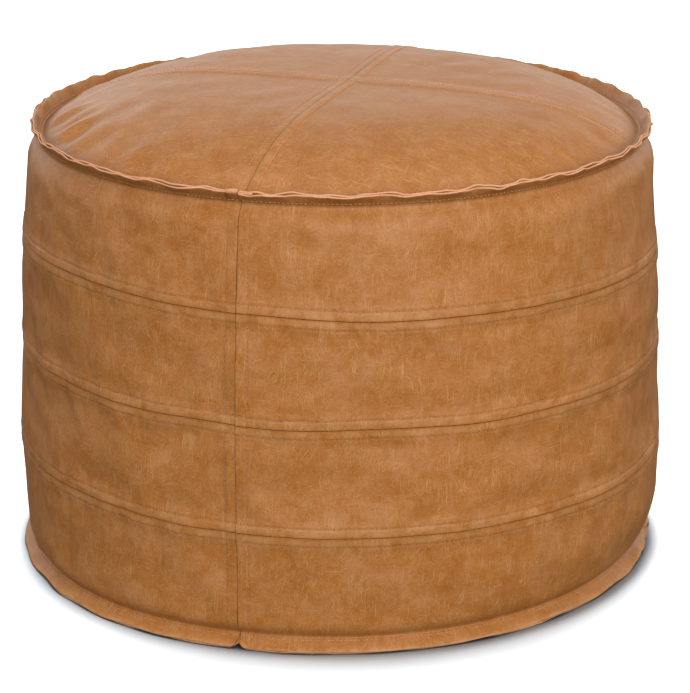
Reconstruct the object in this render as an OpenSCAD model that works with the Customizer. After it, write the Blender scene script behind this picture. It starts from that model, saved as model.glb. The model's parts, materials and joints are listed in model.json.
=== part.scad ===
// Round leather pouf: a stuffed drum of four sewn side bands, a crowned top of four
// quarter panels, a two-part base with a recessed zip, and a bead-filled inner bag.
// Millimetres, +Z up. The origin is on the floor, under the middle of the drum.
// The closing seam of the side bands and one seam of the top face -Y.

/* [Drum] */
// Widest diameter, over the band seams
body_d = 506; // [480:1:520]
// Height from the floor to the middle of the top
body_h = 370; // [360:1:380]
// Height of the widest part of the wall
belly_z = 70; // [60:1:85]
// How far the wall leans in between the belly and the top edge
upper_lean = 11.5; // [8:0.5:14]
// How far the wall leans in between the belly and the floor
lower_lean = 2.2; // [1:0.1:3]
// Fullness of the crown: a higher number has a flatter middle
crown_power = 4.4; // [3:0.1:6]

/* [Leather] */
// Thickness of one ply of leather
ply = 1.2; // [1:0.1:1.4]
// Width of the leather that is turned in at a seam
turn_in = 10; // [8:1:12]
// How far a pressed seam stands out from the wall
seam_ridge = 1.2; // [0.8:0.1:1.6]
// Half the width of the stretch that a pressed seam lifts
seam_spread = 12; // [10:1:14]
// Distance from a seam to its topstitching
stitch_offset = 7; // [5:0.5:8]
// Diameter of the sewing thread
thread_d = 0.7; // [0.5:0.1:0.9]

/* [Bands] */
// Height of the lowest band seam
first_seam_z = 90.5; // [88:0.5:93]
// Distance from one band seam to the next
band_pitch = 81; // [79:0.5:82]

/* [Raw edges] */
// Width of the raw double edge around the top
top_edge_w = 12.6; // [10:0.2:14]
// Angle of the top edge above the horizontal
top_edge_angle = 45; // [35:1:55]
// Radius and height of the top edge's root
top_root = [230, 331.5];
// Width of the raw double edge around the base
base_edge_w = 13; // [11:0.2:14]
// Angle of the base edge below the horizontal
base_edge_angle = 40; // [35:1:45]
// Radius of the base edge's root
base_root_r = 241.8; // [240:0.2:243]
// Half the width of the split in the base edge at the closing seam
split_half_w = 1.6; // [1:0.1:2.5]

/* [Zip] */
// Half the length of the zip opening
zip_half_l = 195; // [190:1:196]
// Height of the recess that the zip lies in
recess_h = 7; // [7:0.5:8]
// Distance between two teeth on one tape
tooth_pitch = 4; // [3:0.5:5]
// Place of the slider along X when the zip is closed
slider_x = 160; // [150:1:162]
// Length of the pull tab from its pin to its end
tab_l = 24; // [18:1:28]

/* [Inner bag] */
// Thickness of the bag's cloth
liner_t = 0.8; // [0.6:0.1:1]
// Distance from the wall's outer face to the bag
liner_depth = 4.2; // [4:0.1:5]
// Height of the seam between the bag's wall and its base
liner_low_z = 24; // [22:1:28]
// Height of the seam between the bag's wall and its top
liner_high_z = 316; // [312:1:317]

/* [Hidden] */

$fn = 96;
gap = 0.2;
leather = "#b87844";
raw_edge = "#d89a70";
thread_tan = "#c8793a";
thread_brown = "#6b3f1e";
cotton = "#e8e2d4";
beads = "#f6f6f2";
tape_tan = "#9a6b40";
brass = "#c9a458";

path_steps = 20;
fold_steps = 4;
shoulder_start = 312;
shoulder_r = 22;
foot_start = 22;
foot_r = 13;
belly_r = body_d / 2 - seam_ridge;
seam_z = [first_seam_z, first_seam_z + band_pitch, first_seam_z + 2 * band_pitch];
fold_t = 2 * ply + gap / 2;
ply_side = gap / 2 + ply;
wide = 2 * body_d;

// The raw edges: a direction along the edge and one across it, away from the wall
top_along = [cos(top_edge_angle), sin(top_edge_angle)];
top_across = [-sin(top_edge_angle), cos(top_edge_angle)];
base_along = [cos(base_edge_angle), -sin(base_edge_angle)];
base_across = [sin(base_edge_angle), cos(base_edge_angle)];
base_root = [base_root_r, ply_side * cos(base_edge_angle) + base_edge_w * sin(base_edge_angle)];
crown_root = top_root + ply_side * top_across;
crown_rise = body_h - crown_root.y;
base_flat_r = base_root_r - 17;
edge_stitch = 3.5;

// Zip levels, from the floor up
lip_y = 8;
lip_top = recess_h + fold_t;
tape_z = lip_top + 0.1;
tape_t = 0.6;
tape_inner_y = 2;
tape_outer_y = 17;
coil_z = recess_h + 0.2;
slider_half_l = 7;
slider_half_w = 5.5;
plate_t = 1;
lower_plate_z = recess_h - 0.1 - plate_t;
upper_plate_z = tape_z + tape_t + 0.3;
pin_z = 4;
pin_r = 0.9;
pin_clearance = 0.08;
eye_r = 1.7;
eye_half_w = 2.3;
recess_top = [198, 14];
recess_foot = [212, 30];
roof_z = upper_plate_z + plate_t + liner_t + 0.6;

// --- shared curves -------------------------------------------------------------

function round_in(d, r) = d <= 0 ? 0 : r - sqrt(r * r - pow(min(d, r), 2));
function lean(z) = z > belly_z
    ? upper_lean * pow((z - belly_z) / (top_root.y - belly_z), 2)
    : lower_lean * pow((belly_z - z) / belly_z, 2);
function wall_r(z) = belly_r - lean(z) - round_in(z - shoulder_start, shoulder_r)
    - round_in(foot_start - z, foot_r);
function lift(d) = abs(d) >= seam_spread ? 0 : seam_ridge * (1 + cos(180 * d / seam_spread)) / 2;
function seam_lift(z) = max([for (s = seam_z) lift(z - s)]);
function crown_z(r) = crown_root.y + crown_rise * (1 - pow(r / crown_root.x, crown_power));
function base_z(r) = r <= base_flat_r ? 0
    : (base_root - ply_side * base_across).y
        * pow((r - base_flat_r) / (base_root_r - ply_side * base_across.x - base_flat_r), 2);

function wall_path(z0, z1, steps = path_steps) = [for (i = [0 : steps])
    let (z = z0 + (z1 - z0) * i / steps) [wall_r(z) + seam_lift(z), z]];
function top_band_path(z0) = concat(
    wall_path(z0, top_root.y - 3),
    [top_root - ply_side * top_across, top_root - ply_side * top_across + top_edge_w * top_along]);
function bottom_band_path(z1) = concat(
    [base_root + ply_side * base_across + base_edge_w * base_along, base_root + ply_side * base_across],
    wall_path(base_root.y + 3, z1));
function crown_path(r1) = [for (i = [0 : path_steps])
    let (r = r1 * sqrt(i / path_steps)) [r, crown_z(r)]];
function top_panel_path() = concat(
    crown_path(crown_root.x - 2),
    [crown_root, crown_root + top_edge_w * top_along]);
function base_panel_path() = concat(
    [[0, 0]],
    [for (i = [0 : 5]) let (r = base_flat_r + 14 * i / 5) [r, base_z(r)]],
    [base_root - ply_side * base_across, base_root - ply_side * base_across + base_edge_w * base_along]);

// A path moved sideways: a positive distance is to the left of the way that it runs
function side_of(path, i) =
    let (a = path[max(i - 1, 0)], b = path[min(i + 1, len(path) - 1)], d = (b - a) / norm(b - a)) [-d.y, d.x];
function moved(path, d) = [for (i = [0 : len(path) - 1])
    let (p = path[i] + d * side_of(path, i)) [max(p.x, 0), p.y]];
function backwards(path) = [for (i = [len(path) - 1 : -1 : 0]) path[i]];

// The strip between a path moved by d0 and the same path moved by d1
module strip(path, d0, d1) {
    polygon(concat(moved(path, d0), backwards(moved(path, d1))));
}

module turned(angle = 360) {
    rotate_extrude(angle = angle) children();
}

module closing_seam_cut(half_w) {
    translate([-half_w, -wide, -wide])
        cube([2 * half_w, wide, 2 * wide]);
}

// A flat-topped recess that widens towards the floor, grown by t on every side
module recess(t, top_z) {
    hull() {
        translate([-recess_foot.x - t, -recess_foot.y - t, -1])
            cube([2 * (recess_foot.x + t), 2 * (recess_foot.y + t), 1]);
        translate([-recess_top.x - t, -recess_top.y - t, top_z - 0.01])
            cube([2 * (recess_top.x + t), 2 * (recess_top.y + t), 0.01]);
    }
}

module at_slider() {
    translate([slider_x, 0, 0]) children();
}

// --- top -------------------------------------------------------------------------

module quadrant() {
    translate([gap / 2, gap / 2, -wide])
        cube([wide, wide, 2 * wide]);
}

// Straight edges of a quarter panel, as wide as t
module quadrant_edges(t, l) {
    translate([gap / 2, gap / 2, 0])
        cube([t, l, wide]);
    translate([gap / 2, gap / 2, 0])
        cube([l, t, wide]);
}

module quarter_panel() {
    intersection() {
        turned() strip(top_panel_path(), 0, -ply);
        quadrant();
    }
    intersection() {
        turned() strip(crown_path(crown_root.x - 12), -ply - gap / 2, -fold_t);
        quadrant_edges(turn_in, crown_root.x - 14);
    }
    intersection() {
        turned() strip(crown_path(crown_root.x - 12), 0, -fold_t);
        quadrant_edges(ply, crown_root.x - 14);
    }
}

module top_panel_front_left() {
    color(leather) rotate([0, 0, 180]) quarter_panel();
}

module top_panel_front_right() {
    color(leather) rotate([0, 0, 270]) quarter_panel();
}

module top_panel_back_left() {
    color(leather) rotate([0, 0, 90]) quarter_panel();
}

module top_panel_back_right() {
    color(leather) quarter_panel();
}

// --- side bands --------------------------------------------------------------------

// The wall between two heights, at a depth below its outer face
function wall_line(z0, z1, depth, steps) = [for (i = [0 : steps])
    let (z = z0 + (z1 - z0) * i / steps) [wall_r(z) + seam_lift(z) - depth, z]];

// The leather turned in at a seam: up is 1 where the band lies above the seam, and -1 below it
function turned_in(z, up) = concat(
    wall_line(z + up * ply, z + up * turn_in, ply + gap / 2, fold_steps),
    wall_line(z + up * turn_in, z, fold_t, fold_steps));

// The band's two ends, turned in where they meet at the closing seam
module end_folds(z0, z1) {
    fold_angle = turn_in / belly_r * 180 / PI;
    rotate([0, 0, 270 - fold_angle])
        turned(2 * fold_angle)
            polygon(concat(wall_line(z0, z1, ply / 2, path_steps), wall_line(z1, z0, fold_t, path_steps)));
}

// A band with its two ends meeting at the closing seam
module closed_band(profile, folds_from, folds_to) {
    difference() {
        union() {
            turned() polygon(profile);
            end_folds(folds_from, folds_to);
        }
        closing_seam_cut(gap / 2);
    }
}

module side_band_top() {
    z0 = seam_z[2] + gap / 2;
    path = top_band_path(z0);
    inner = [for (p = backwards(moved(path, ply))) if (p.y > z0 + ply) p];
    color(leather)
        closed_band(concat(path, inner, turned_in(z0, 1)), z0 + turn_in + 1, shoulder_start);
}

module middle_band(z0, z1) {
    color(leather)
        closed_band(
            concat(
                wall_path(z0, z1),
                backwards(turned_in(z1, -1)),
                wall_line(z1 - ply, z0 + ply, ply, path_steps),
                turned_in(z0, 1)),
            z0 + turn_in + 1, z1 - turn_in - 1);
}

module side_band_upper() {
    middle_band(seam_z[1] + gap / 2, seam_z[2] - gap / 2);
}

module side_band_lower() {
    middle_band(seam_z[0] + gap / 2, seam_z[1] - gap / 2);
}

module side_band_bottom() {
    z1 = seam_z[0] - gap / 2;
    path = bottom_band_path(z1);
    inner = [for (p = backwards(moved(path, ply))) if (p.y < z1 - ply) p];
    color(leather) difference() {
        closed_band(concat(path, backwards(turned_in(z1, -1)), inner), foot_start + 2, z1 - turn_in - 1);
        base_edge_split();
    }
}

// --- base ----------------------------------------------------------------------------

// The wedge cut out of the base edge where the closing seam runs down into it
module base_edge_split() {
    tip_r = base_root_r + base_edge_w;
    linear_extrude(base_root.y + ply_side)
        polygon([[0, 1 - base_root_r], [split_half_w, -tip_r], [-split_half_w, -tip_r]]);
}

module base_half() {
    difference() {
        union() {
            difference() {
                turned() strip(base_panel_path(), 0, ply);
                recess(ply, recess_h + ply);
            }
            difference() {
                recess(ply, recess_h + ply);
                recess(0, recess_h);
                translate([-wide, -wide, -wide])
                    cube([2 * wide, 2 * wide, wide]);
            }
            translate([-zip_half_l, -recess_top.y, recess_h + ply + gap / 2])
                cube([2 * zip_half_l, recess_top.y - lip_y, ply]);
            translate([-zip_half_l, -lip_y - ply, recess_h])
                cube([2 * zip_half_l, ply, fold_t]);
        }
        translate([-zip_half_l, -lip_y, -1])
            cube([2 * zip_half_l, 2 * lip_y, wide]);
        translate([-wide, -gap / 2, -1])
            cube([2 * wide, wide, wide]);
    }
}

module base_panel_front() {
    color(leather) base_half();
}

module base_panel_back() {
    color(leather) mirror([0, 1, 0]) base_half();
}

// --- stitching -------------------------------------------------------------------------

thread_lift = thread_d / 2 + 0.15;

module thread_ring(p) {
    turned() translate(p) circle(d = thread_d);
}

module seam_threads(z) {
    for (side = [-1, 1]) {
        row = z + side * stitch_offset;
        thread_ring([wall_r(row) + seam_lift(row) + thread_lift, row]);
    }
}

module stitching_seam_upper() {
    color(thread_brown) seam_threads(seam_z[2]);
}

module stitching_seam_middle() {
    color(thread_brown) seam_threads(seam_z[1]);
}

module stitching_seam_lower() {
    color(thread_brown) seam_threads(seam_z[0]);
}

// Twin rows beside the closing seam, one length to each band
module stitching_closing_seam() {
    clear_of_seam = stitch_offset + 2;
    starts = [base_root.y + 8, seam_z[0] + clear_of_seam, seam_z[1] + clear_of_seam, seam_z[2] + clear_of_seam];
    ends = [seam_z[0] - clear_of_seam, seam_z[1] - clear_of_seam, seam_z[2] - clear_of_seam, top_root.y - 8];
    row_angle = (stitch_offset + 1.5) / belly_r * 180 / PI;
    thread_angle = thread_d / belly_r * 180 / PI;
    color(thread_brown)
        for (band = [0 : 3], side = [-1, 1])
            rotate([0, 0, 270 + side * row_angle - thread_angle / 2])
                turned(thread_angle) strip(wall_path(starts[band], ends[band]), -0.15, -0.15 - thread_d);
}

module cross_row(y) {
    steps = 24;
    x0 = stitch_offset + 2;
    x1 = crown_root.x - 9;
    row = [for (i = [0 : steps])
        let (x = x0 + (x1 - x0) * i / steps) [x, crown_z(norm([x, y]))]];
    translate([0, y + thread_d / 2, 0])
        rotate([90, 0, 0])
            linear_extrude(thread_d) strip(row, 0.15, 0.15 + thread_d);
}

module stitching_top_cross() {
    color(thread_tan)
        for (arm = [0 : 3], side = [-1, 1])
            rotate([0, 0, 90 * arm]) cross_row(side * stitch_offset);
}

module stitching_top_edge() {
    color(thread_tan)
        for (side = [-1, 1])
            thread_ring(top_root + edge_stitch * top_along + side * (ply_side + thread_lift) * top_across);
}

module stitching_base_edge() {
    color(thread_tan)
        for (side = [-1, 1])
            thread_ring(base_root + edge_stitch * base_along + side * (ply_side + thread_lift) * base_across);
}

module stitching_zip() {
    half_l = zip_half_l - 12;
    color(thread_brown)
        for (side = [-1, 1])
            translate([-half_l, side * (lip_y + 3), recess_h - thread_lift])
                rotate([0, 90, 0]) cylinder(d = thread_d, h = 2 * half_l);
}

// --- inner bag and filling ---------------------------------------------------------------

function bag_wall(z0, z1, depth) = [for (i = [0 : path_steps])
    let (z = z0 + (z1 - z0) * i / path_steps) [wall_r(z) - depth, z]];
function bag_crown(depth) = concat(
    [for (i = [0 : path_steps]) let (r = 214 * sqrt(i / path_steps)) [r, crown_z(r) - depth]],
    [[222, crown_z(222) - depth], [229, crown_z(222) - depth - 8]]);
function bag_foot(depth) = [
    [0, depth], [base_flat_r - 2, depth], [base_flat_r + 7, depth + 4.5], [wall_r(liner_low_z) - 8, 16]];
bag_depth = 2.4;
bag_crown_depth = 3.6;
bag_seam_gap = 1;

module liner_top() {
    path = concat(
        bag_crown(bag_crown_depth),
        [[wall_r(liner_high_z) - liner_depth, liner_high_z + bag_seam_gap]]);
    color(cotton) turned() strip(path, 0, -liner_t);
}

module liner_wall() {
    color(cotton) turned() strip(bag_wall(liner_low_z, liner_high_z, liner_depth), 0, liner_t);
}

module liner_base() {
    path = concat(
        bag_foot(bag_depth),
        [[wall_r(liner_low_z) - liner_depth, liner_low_z - bag_seam_gap]]);
    color(cotton) union() {
        difference() {
            turned() strip(path, 0, liner_t);
            recess(3, roof_z);
        }
        difference() {
            recess(3, roof_z);
            recess(3 - liner_t, roof_z - liner_t);
            translate([-wide, -wide, bag_depth - wide])
                cube([2 * wide, 2 * wide, wide]);
        }
    }
}

module stitching_liner() {
    inside = liner_depth + liner_t + thread_lift + 0.2;
    color(cotton) {
        thread_ring([wall_r(liner_high_z - 4) - inside, liner_high_z - 4]);
        thread_ring([wall_r(liner_low_z + 4) - inside, liner_low_z + 4]);
    }
}

module bead_fill() {
    shrink = liner_t + gap;
    skin = 1.6;
    wall = bag_wall(liner_low_z, liner_high_z, liner_depth + shrink + skin);
    crown = [for (p = backwards(bag_crown(bag_crown_depth + shrink + 0.2)))
        p.x > 0.01 ? p - [p.x > 200 ? skin : 0, 0] : [0, p.y]];
    color(beads) difference() {
        turned() polygon(concat(
            [for (p = bag_foot(bag_depth + shrink)) p.x > 0 ? p - [skin, -0.2] : p + [0, 0.2]],
            wall, crown));
        recess(3 + gap, roof_z + gap);
    }
}

// --- zip ---------------------------------------------------------------------------------

chain_end = slider_x + 1;

module zip_tape(side) {
    color(tape_tan)
        mirror([0, side < 0 ? 0 : 1, 0])
            translate([-zip_half_l + 2, -tape_outer_y, tape_z])
                cube([2 * zip_half_l - 4, tape_outer_y - tape_inner_y, tape_t]);
}

module zip_tape_front() {
    zip_tape(-1);
}

module zip_tape_back() {
    zip_tape(1);
}

// One side of the zip: a rail sewn under the tape, with teeth that reach over the middle
module zip_teeth(side) {
    first_x = 8 - zip_half_l;
    tooth_w = tooth_pitch * 0.4;
    shift = side < 0 ? 0 : tooth_pitch / 2;
    h = tape_z - coil_z - 0.05;
    count = floor((chain_end - first_x - shift - tooth_w) / tooth_pitch);
    color(brass)
        mirror([0, side < 0 ? 0 : 1, 0]) union() {
            translate([first_x, -3.6, coil_z])
                cube([chain_end - first_x, 1.2, h]);
            for (i = [0 : count])
                translate([first_x + shift + i * tooth_pitch, -2.5, coil_z + 0.3])
                    cube([tooth_w, 3.2, h - 0.6]);
        }
}

module zip_teeth_front() {
    zip_teeth(-1);
}

module zip_teeth_back() {
    zip_teeth(1);
}

module zip_top_stops() {
    stop_l = 3.5;
    color(brass)
        for (side = [-1, 1])
            translate([slider_x + slider_half_l + 0.4, side * 3 - 0.9, coil_z])
                cube([stop_l, 1.8, tape_z - coil_z - 0.05]);
}

module zip_bottom_stop() {
    color(brass)
        translate([3.5 - zip_half_l, -3.6, coil_z])
            cube([4, 7.2, tape_z - coil_z - 0.05]);
}

// A leather patch that closes one end of the zip
module zip_end_tab(side) {
    patch_l = 12;
    color(raw_edge)
        translate([side * (zip_half_l - 4) - patch_l / 2, -recess_top.y + 2, recess_h - 0.1 - ply])
            cube([patch_l, 2 * (recess_top.y - 2), ply]);
}

module zip_end_tab_left() {
    zip_end_tab(-1);
}

module zip_end_tab_right() {
    zip_end_tab(1);
}

// Two plates joined by a wedge, guides along the lower plate, and the pull tab's pin in two lugs
module zip_slider() {
    guide_t = 0.9;
    lug_t = 1.2;
    lug_y = eye_half_w + 0.2;
    color(brass) at_slider() union() {
        for (z = [lower_plate_z, upper_plate_z])
            translate([-slider_half_l, -slider_half_w, z])
                cube([2 * slider_half_l, 2 * slider_half_w, plate_t]);
        for (y = [-slider_half_w, slider_half_w - guide_t])
            translate([-slider_half_l, y, lower_plate_z])
                cube([2 * slider_half_l, guide_t, tape_z - 0.3 - lower_plate_z]);
        translate([slider_half_l - 5, -1.5, lower_plate_z])
            cube([4.5, 3, upper_plate_z - lower_plate_z + plate_t]);
        for (y = [-lug_y - lug_t, lug_y])
            translate([0, y + lug_t, 0]) rotate([90, 0, 0]) linear_extrude(lug_t) {
                translate([0, pin_z]) circle(r = eye_r);
                translate([-eye_r, pin_z]) square([2 * eye_r, lower_plate_z - pin_z + 0.1]);
            }
        translate([0, lug_y + lug_t / 2, pin_z]) rotate([90, 0, 0])
            cylinder(r = pin_r, h = 2 * lug_y + lug_t);
    }
}

module zip_pull_tab() {
    tab_t = 1.4;
    tab_w = 8;
    color(brass) at_slider() difference() {
        union() {
            translate([0, eye_half_w, pin_z]) rotate([90, 0, 0])
                cylinder(r = eye_r, h = 2 * eye_half_w);
            translate([-9, -eye_half_w, pin_z - tab_t / 2])
                cube([9, 2 * eye_half_w, tab_t]);
            translate([0, 0, pin_z - tab_t / 2]) linear_extrude(tab_t) {
                translate([-tab_l + tab_w / 2, 0]) circle(d = tab_w);
                translate([-tab_l + tab_w / 2, -tab_w / 2]) square([tab_l - tab_w / 2 - 5, tab_w]);
            }
        }
        translate([0, wide / 2, pin_z]) rotate([90, 0, 0])
            cylinder(r = pin_r + pin_clearance, h = wide);
        translate([-tab_l + tab_w / 2, 0, 0])
            cylinder(d = 4, h = wide);
    }
}

// --- the whole pouf --------------------------------------------------------------------------

top_panel_front_left();
top_panel_front_right();
top_panel_back_left();
top_panel_back_right();
side_band_top();
side_band_upper();
side_band_lower();
side_band_bottom();
base_panel_front();
base_panel_back();
stitching_top_cross();
stitching_top_edge();
stitching_seam_upper();
stitching_seam_middle();
stitching_seam_lower();
stitching_closing_seam();
stitching_base_edge();
stitching_zip();
liner_top();
liner_wall();
liner_base();
stitching_liner();
bead_fill();
zip_tape_front();
zip_tape_back();
zip_teeth_front();
zip_teeth_back();
zip_top_stops();
zip_bottom_stop();
zip_end_tab_left();
zip_end_tab_right();
zip_slider();
zip_pull_tab();
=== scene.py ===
"""Round leather pouf: the looks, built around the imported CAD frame.

Lengths in the shape code are in millimetres, and MM turns them into metres when a mesh is made.
"""
import json
import math
import bpy
import numpy as np
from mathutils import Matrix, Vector

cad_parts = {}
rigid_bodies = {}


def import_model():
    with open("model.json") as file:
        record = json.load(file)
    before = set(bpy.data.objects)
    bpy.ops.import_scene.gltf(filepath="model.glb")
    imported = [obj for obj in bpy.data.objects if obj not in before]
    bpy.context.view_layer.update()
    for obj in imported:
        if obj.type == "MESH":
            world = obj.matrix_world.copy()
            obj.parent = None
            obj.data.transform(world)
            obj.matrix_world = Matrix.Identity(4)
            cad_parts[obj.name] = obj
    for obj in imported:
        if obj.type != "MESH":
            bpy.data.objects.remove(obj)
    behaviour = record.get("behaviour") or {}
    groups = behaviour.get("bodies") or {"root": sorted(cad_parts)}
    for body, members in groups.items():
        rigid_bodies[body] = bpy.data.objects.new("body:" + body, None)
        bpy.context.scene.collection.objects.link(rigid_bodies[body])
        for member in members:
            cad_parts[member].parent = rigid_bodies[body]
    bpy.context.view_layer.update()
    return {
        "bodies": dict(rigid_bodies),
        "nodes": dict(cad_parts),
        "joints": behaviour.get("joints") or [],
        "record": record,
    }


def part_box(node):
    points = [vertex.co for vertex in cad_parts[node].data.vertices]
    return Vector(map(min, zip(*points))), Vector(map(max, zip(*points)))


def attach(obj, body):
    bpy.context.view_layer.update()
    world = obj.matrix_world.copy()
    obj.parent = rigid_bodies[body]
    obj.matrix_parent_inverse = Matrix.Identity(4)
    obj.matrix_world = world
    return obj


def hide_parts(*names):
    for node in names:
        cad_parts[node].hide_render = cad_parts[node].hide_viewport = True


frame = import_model()

MM = 0.001
TAU = 2 * math.pi

# --- sizes ------------------------------------------------------------------------------


def box_mm(node):
    """A CAD node's lowest and highest corners, in millimetres."""
    low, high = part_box(node)
    return np.array(low) / MM, np.array(high) / MM


def meeting_z(below, above):
    """The height where two bands meet."""
    return (box_mm(below)[1][2] + box_mm(above)[0][2]) / 2


PLY = 1.2
GAP = 0.2
SIDE = GAP / 2 + PLY
RIDGE = 1.2
RIDGE_SPREAD = 14.0
STITCH_OFFSET = 7.0
CLOSING_OFFSET = 8.5
FOLD_T = 2 * PLY + GAP / 2
FOLD_W = 0.5
PRESSED_W = 0.2
TURN_IN = 10.0

BODY_R = box_mm("side_band_bottom")[1][0] - RIDGE
TOP_Z = box_mm("top_panel_front_left")[1][2]
SEAM_Z = [
    meeting_z("side_band_bottom", "side_band_lower"),
    meeting_z("side_band_lower", "side_band_upper"),
    meeting_z("side_band_upper", "side_band_top"),
]
# How far each seam was sewn off level, low to high, and which way it is highest
SEAM_TILT = [1.2, 1.6, 6.0]
VIEW_AZIMUTH = math.radians(17.2)
TILT_TOWARDS = VIEW_AZIMUTH + math.pi
CAMERA_SIDE = VIEW_AZIMUTH - math.pi / 2

TOP_EDGE_W = 12.6
TOP_EDGE_ANGLE = math.radians(45)
BASE_EDGE_W = 13.0
BASE_EDGE_ANGLE = math.radians(-40)
top_along = np.array([math.cos(TOP_EDGE_ANGLE), math.sin(TOP_EDGE_ANGLE)])
top_across = np.array([-top_along[1], top_along[0]])
base_along = np.array([math.cos(BASE_EDGE_ANGLE), math.sin(BASE_EDGE_ANGLE)])
base_across = np.array([-base_along[1], base_along[0]])
TOP_ROOT = np.array([
    box_mm("top_panel_back_right")[1][0] + SIDE * top_along[1] - TOP_EDGE_W * top_along[0],
    box_mm("side_band_top")[1][2] + GAP / 2 * top_across[1] - TOP_EDGE_W * top_along[1],
])
BASE_ROOT = np.array([
    box_mm("base_panel_front")[1][0] + SIDE * base_across[0] - BASE_EDGE_W * base_along[0],
    SIDE * base_across[1] - BASE_EDGE_W * base_along[1],
])
CROWN_POWER = 4.4
crown_root = TOP_ROOT + SIDE * top_across
base_root = BASE_ROOT - SIDE * base_across

BELLY_Z = 70.0
UPPER_LEAN, LOWER_LEAN = 11.5, 2.2
SHOULDER_Z, SHOULDER_R = 312.0, 22.0
FOOT_Z, FOOT_R = 22.0, 13.0
EDGE_STITCH = 3.5

# --- noise that goes round without a seam ------------------------------------------------


class Ripple:
    """A sum of waves round the drum, about 1 high: the same every run."""

    def __init__(self, seed, low, high, count=9):
        r = np.random.default_rng(seed)
        self.k = r.integers(low, high + 1, count)
        self.phase = r.uniform(0, TAU, count)
        self.size = r.uniform(0.5, 1.0, count)
        self.size /= math.sqrt((self.size**2).sum() / 2) * 1.4

    def __call__(self, theta):
        theta = np.asarray(theta, float)[..., None]
        return (self.size * np.sin(self.k * theta + self.phase)).sum(-1)


class Lumps:
    """A soft random relief over a plane or over the wall, about 1 high."""

    def __init__(self, seed, wavelength, count=24):
        r = np.random.default_rng(seed)
        way = r.uniform(0, TAU, count)
        k = TAU / (wavelength * r.uniform(0.7, 1.6, count))
        self.k = np.stack([k * np.cos(way), k * np.sin(way)])
        self.phase = r.uniform(0, TAU, count)

    def __call__(self, u, v):
        u, v = np.broadcast_arrays(np.asarray(u, float), np.asarray(v, float))
        wave = np.sin(u[..., None] * self.k[0] + v[..., None] * self.k[1] + self.phase)
        return wave.sum(-1) / math.sqrt(len(self.phase) / 2) / 1.4


def smooth(x):
    x = np.clip(x, 0, 1)
    return x * x * (3 - 2 * x)


def bell(x, width):
    return np.exp(-((np.asarray(x, float) / width) ** 2))


# --- the drum's surface --------------------------------------------------------------------

top_wave = Ripple(3, 22, 50)
top_fine = Ripple(4, 80, 130)
top_open = Ripple(5, 20, 60)
top_cut = [Ripple(6, 10, 80, 40), Ripple(7, 10, 80, 40)]
base_wave = Ripple(8, 7, 30)
base_open = Ripple(9, 20, 60)
base_cut = [Ripple(10, 5, 30), Ripple(11, 5, 30)]
seam_wobble = [Ripple(20 + i, 3, 14) for i in range(3)]
pucker = [Ripple(30 + i, 60, 130, 14) for i in range(3)]
wall_lumps = Lumps(40, 150)
wall_small = Lumps(41, 45)
top_lumps = Lumps(42, 160)
top_small = Lumps(43, 40)
rim_pucker = Ripple(44, 26, 60, 12)


def round_in(d, r):
    d = np.clip(d, 0, r)
    return r - np.sqrt(r * r - d * d)


def wall_r(z):
    z = np.asarray(z, float)
    up = UPPER_LEAN * (np.maximum(z - BELLY_Z, 0) / (TOP_ROOT[1] - BELLY_Z)) ** 2
    down = LOWER_LEAN * (np.maximum(BELLY_Z - z, 0) / BELLY_Z) ** 2
    return BODY_R - up - down - round_in(z - SHOULDER_Z, SHOULDER_R) - round_in(FOOT_Z - z, FOOT_R)


def seam_shift(i, theta):
    """How far seam i runs above its level, round the drum."""
    return SEAM_TILT[i] * np.cos(theta - TILT_TOWARDS) + 0.5 * seam_wobble[i](theta)


def warp(theta, z):
    """How far the bands are pulled up or down, so that they follow the seams."""
    levels = [BASE_ROOT[1] + 8, *SEAM_Z, TOP_ROOT[1] - 18]
    theta, z = np.broadcast_arrays(np.asarray(theta, float), np.asarray(z, float))
    shifts = [np.zeros_like(theta), *[seam_shift(i, theta) for i in range(3)], np.zeros_like(theta)]
    out = np.zeros_like(theta)
    for k in range(4):
        t = np.clip((z - levels[k]) / (levels[k + 1] - levels[k]), 0, 1)
        part = shifts[k] * (1 - t) + shifts[k + 1] * t
        out = np.where((z >= levels[k]) & (z <= levels[k + 1]), part, out)
    return out


def ridge(d):
    """Height of the leather at a distance from a pressed and topstitched seam."""
    d = np.abs(d)
    lift = RIDGE * (1 - smooth((d - 3) / (RIDGE_SPREAD - 3)))
    return lift - 0.30 * bell(d - STITCH_OFFSET, 0.9)


def seam_relief(theta, z):
    out = np.zeros(np.broadcast(theta, z).shape)
    for i in range(3):
        d = np.abs(z - SEAM_Z[i])
        out = out + np.where(d < 20, ridge(d), 0)
        out = out + 0.22 * pucker[i](theta) * bell(d - 10, 6)
    return out


def closing_relief(theta):
    """The closing seam's ridge, by distance along the wall from it."""
    d = np.abs(((theta + math.pi / 2 + math.pi) % TAU - math.pi) * BODY_R)
    return np.where(d < 20, 0.55 * (1 - smooth((d - 4) / 10)) - 0.3 * bell(d - CLOSING_OFFSET, 0.9), 0)


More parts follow.
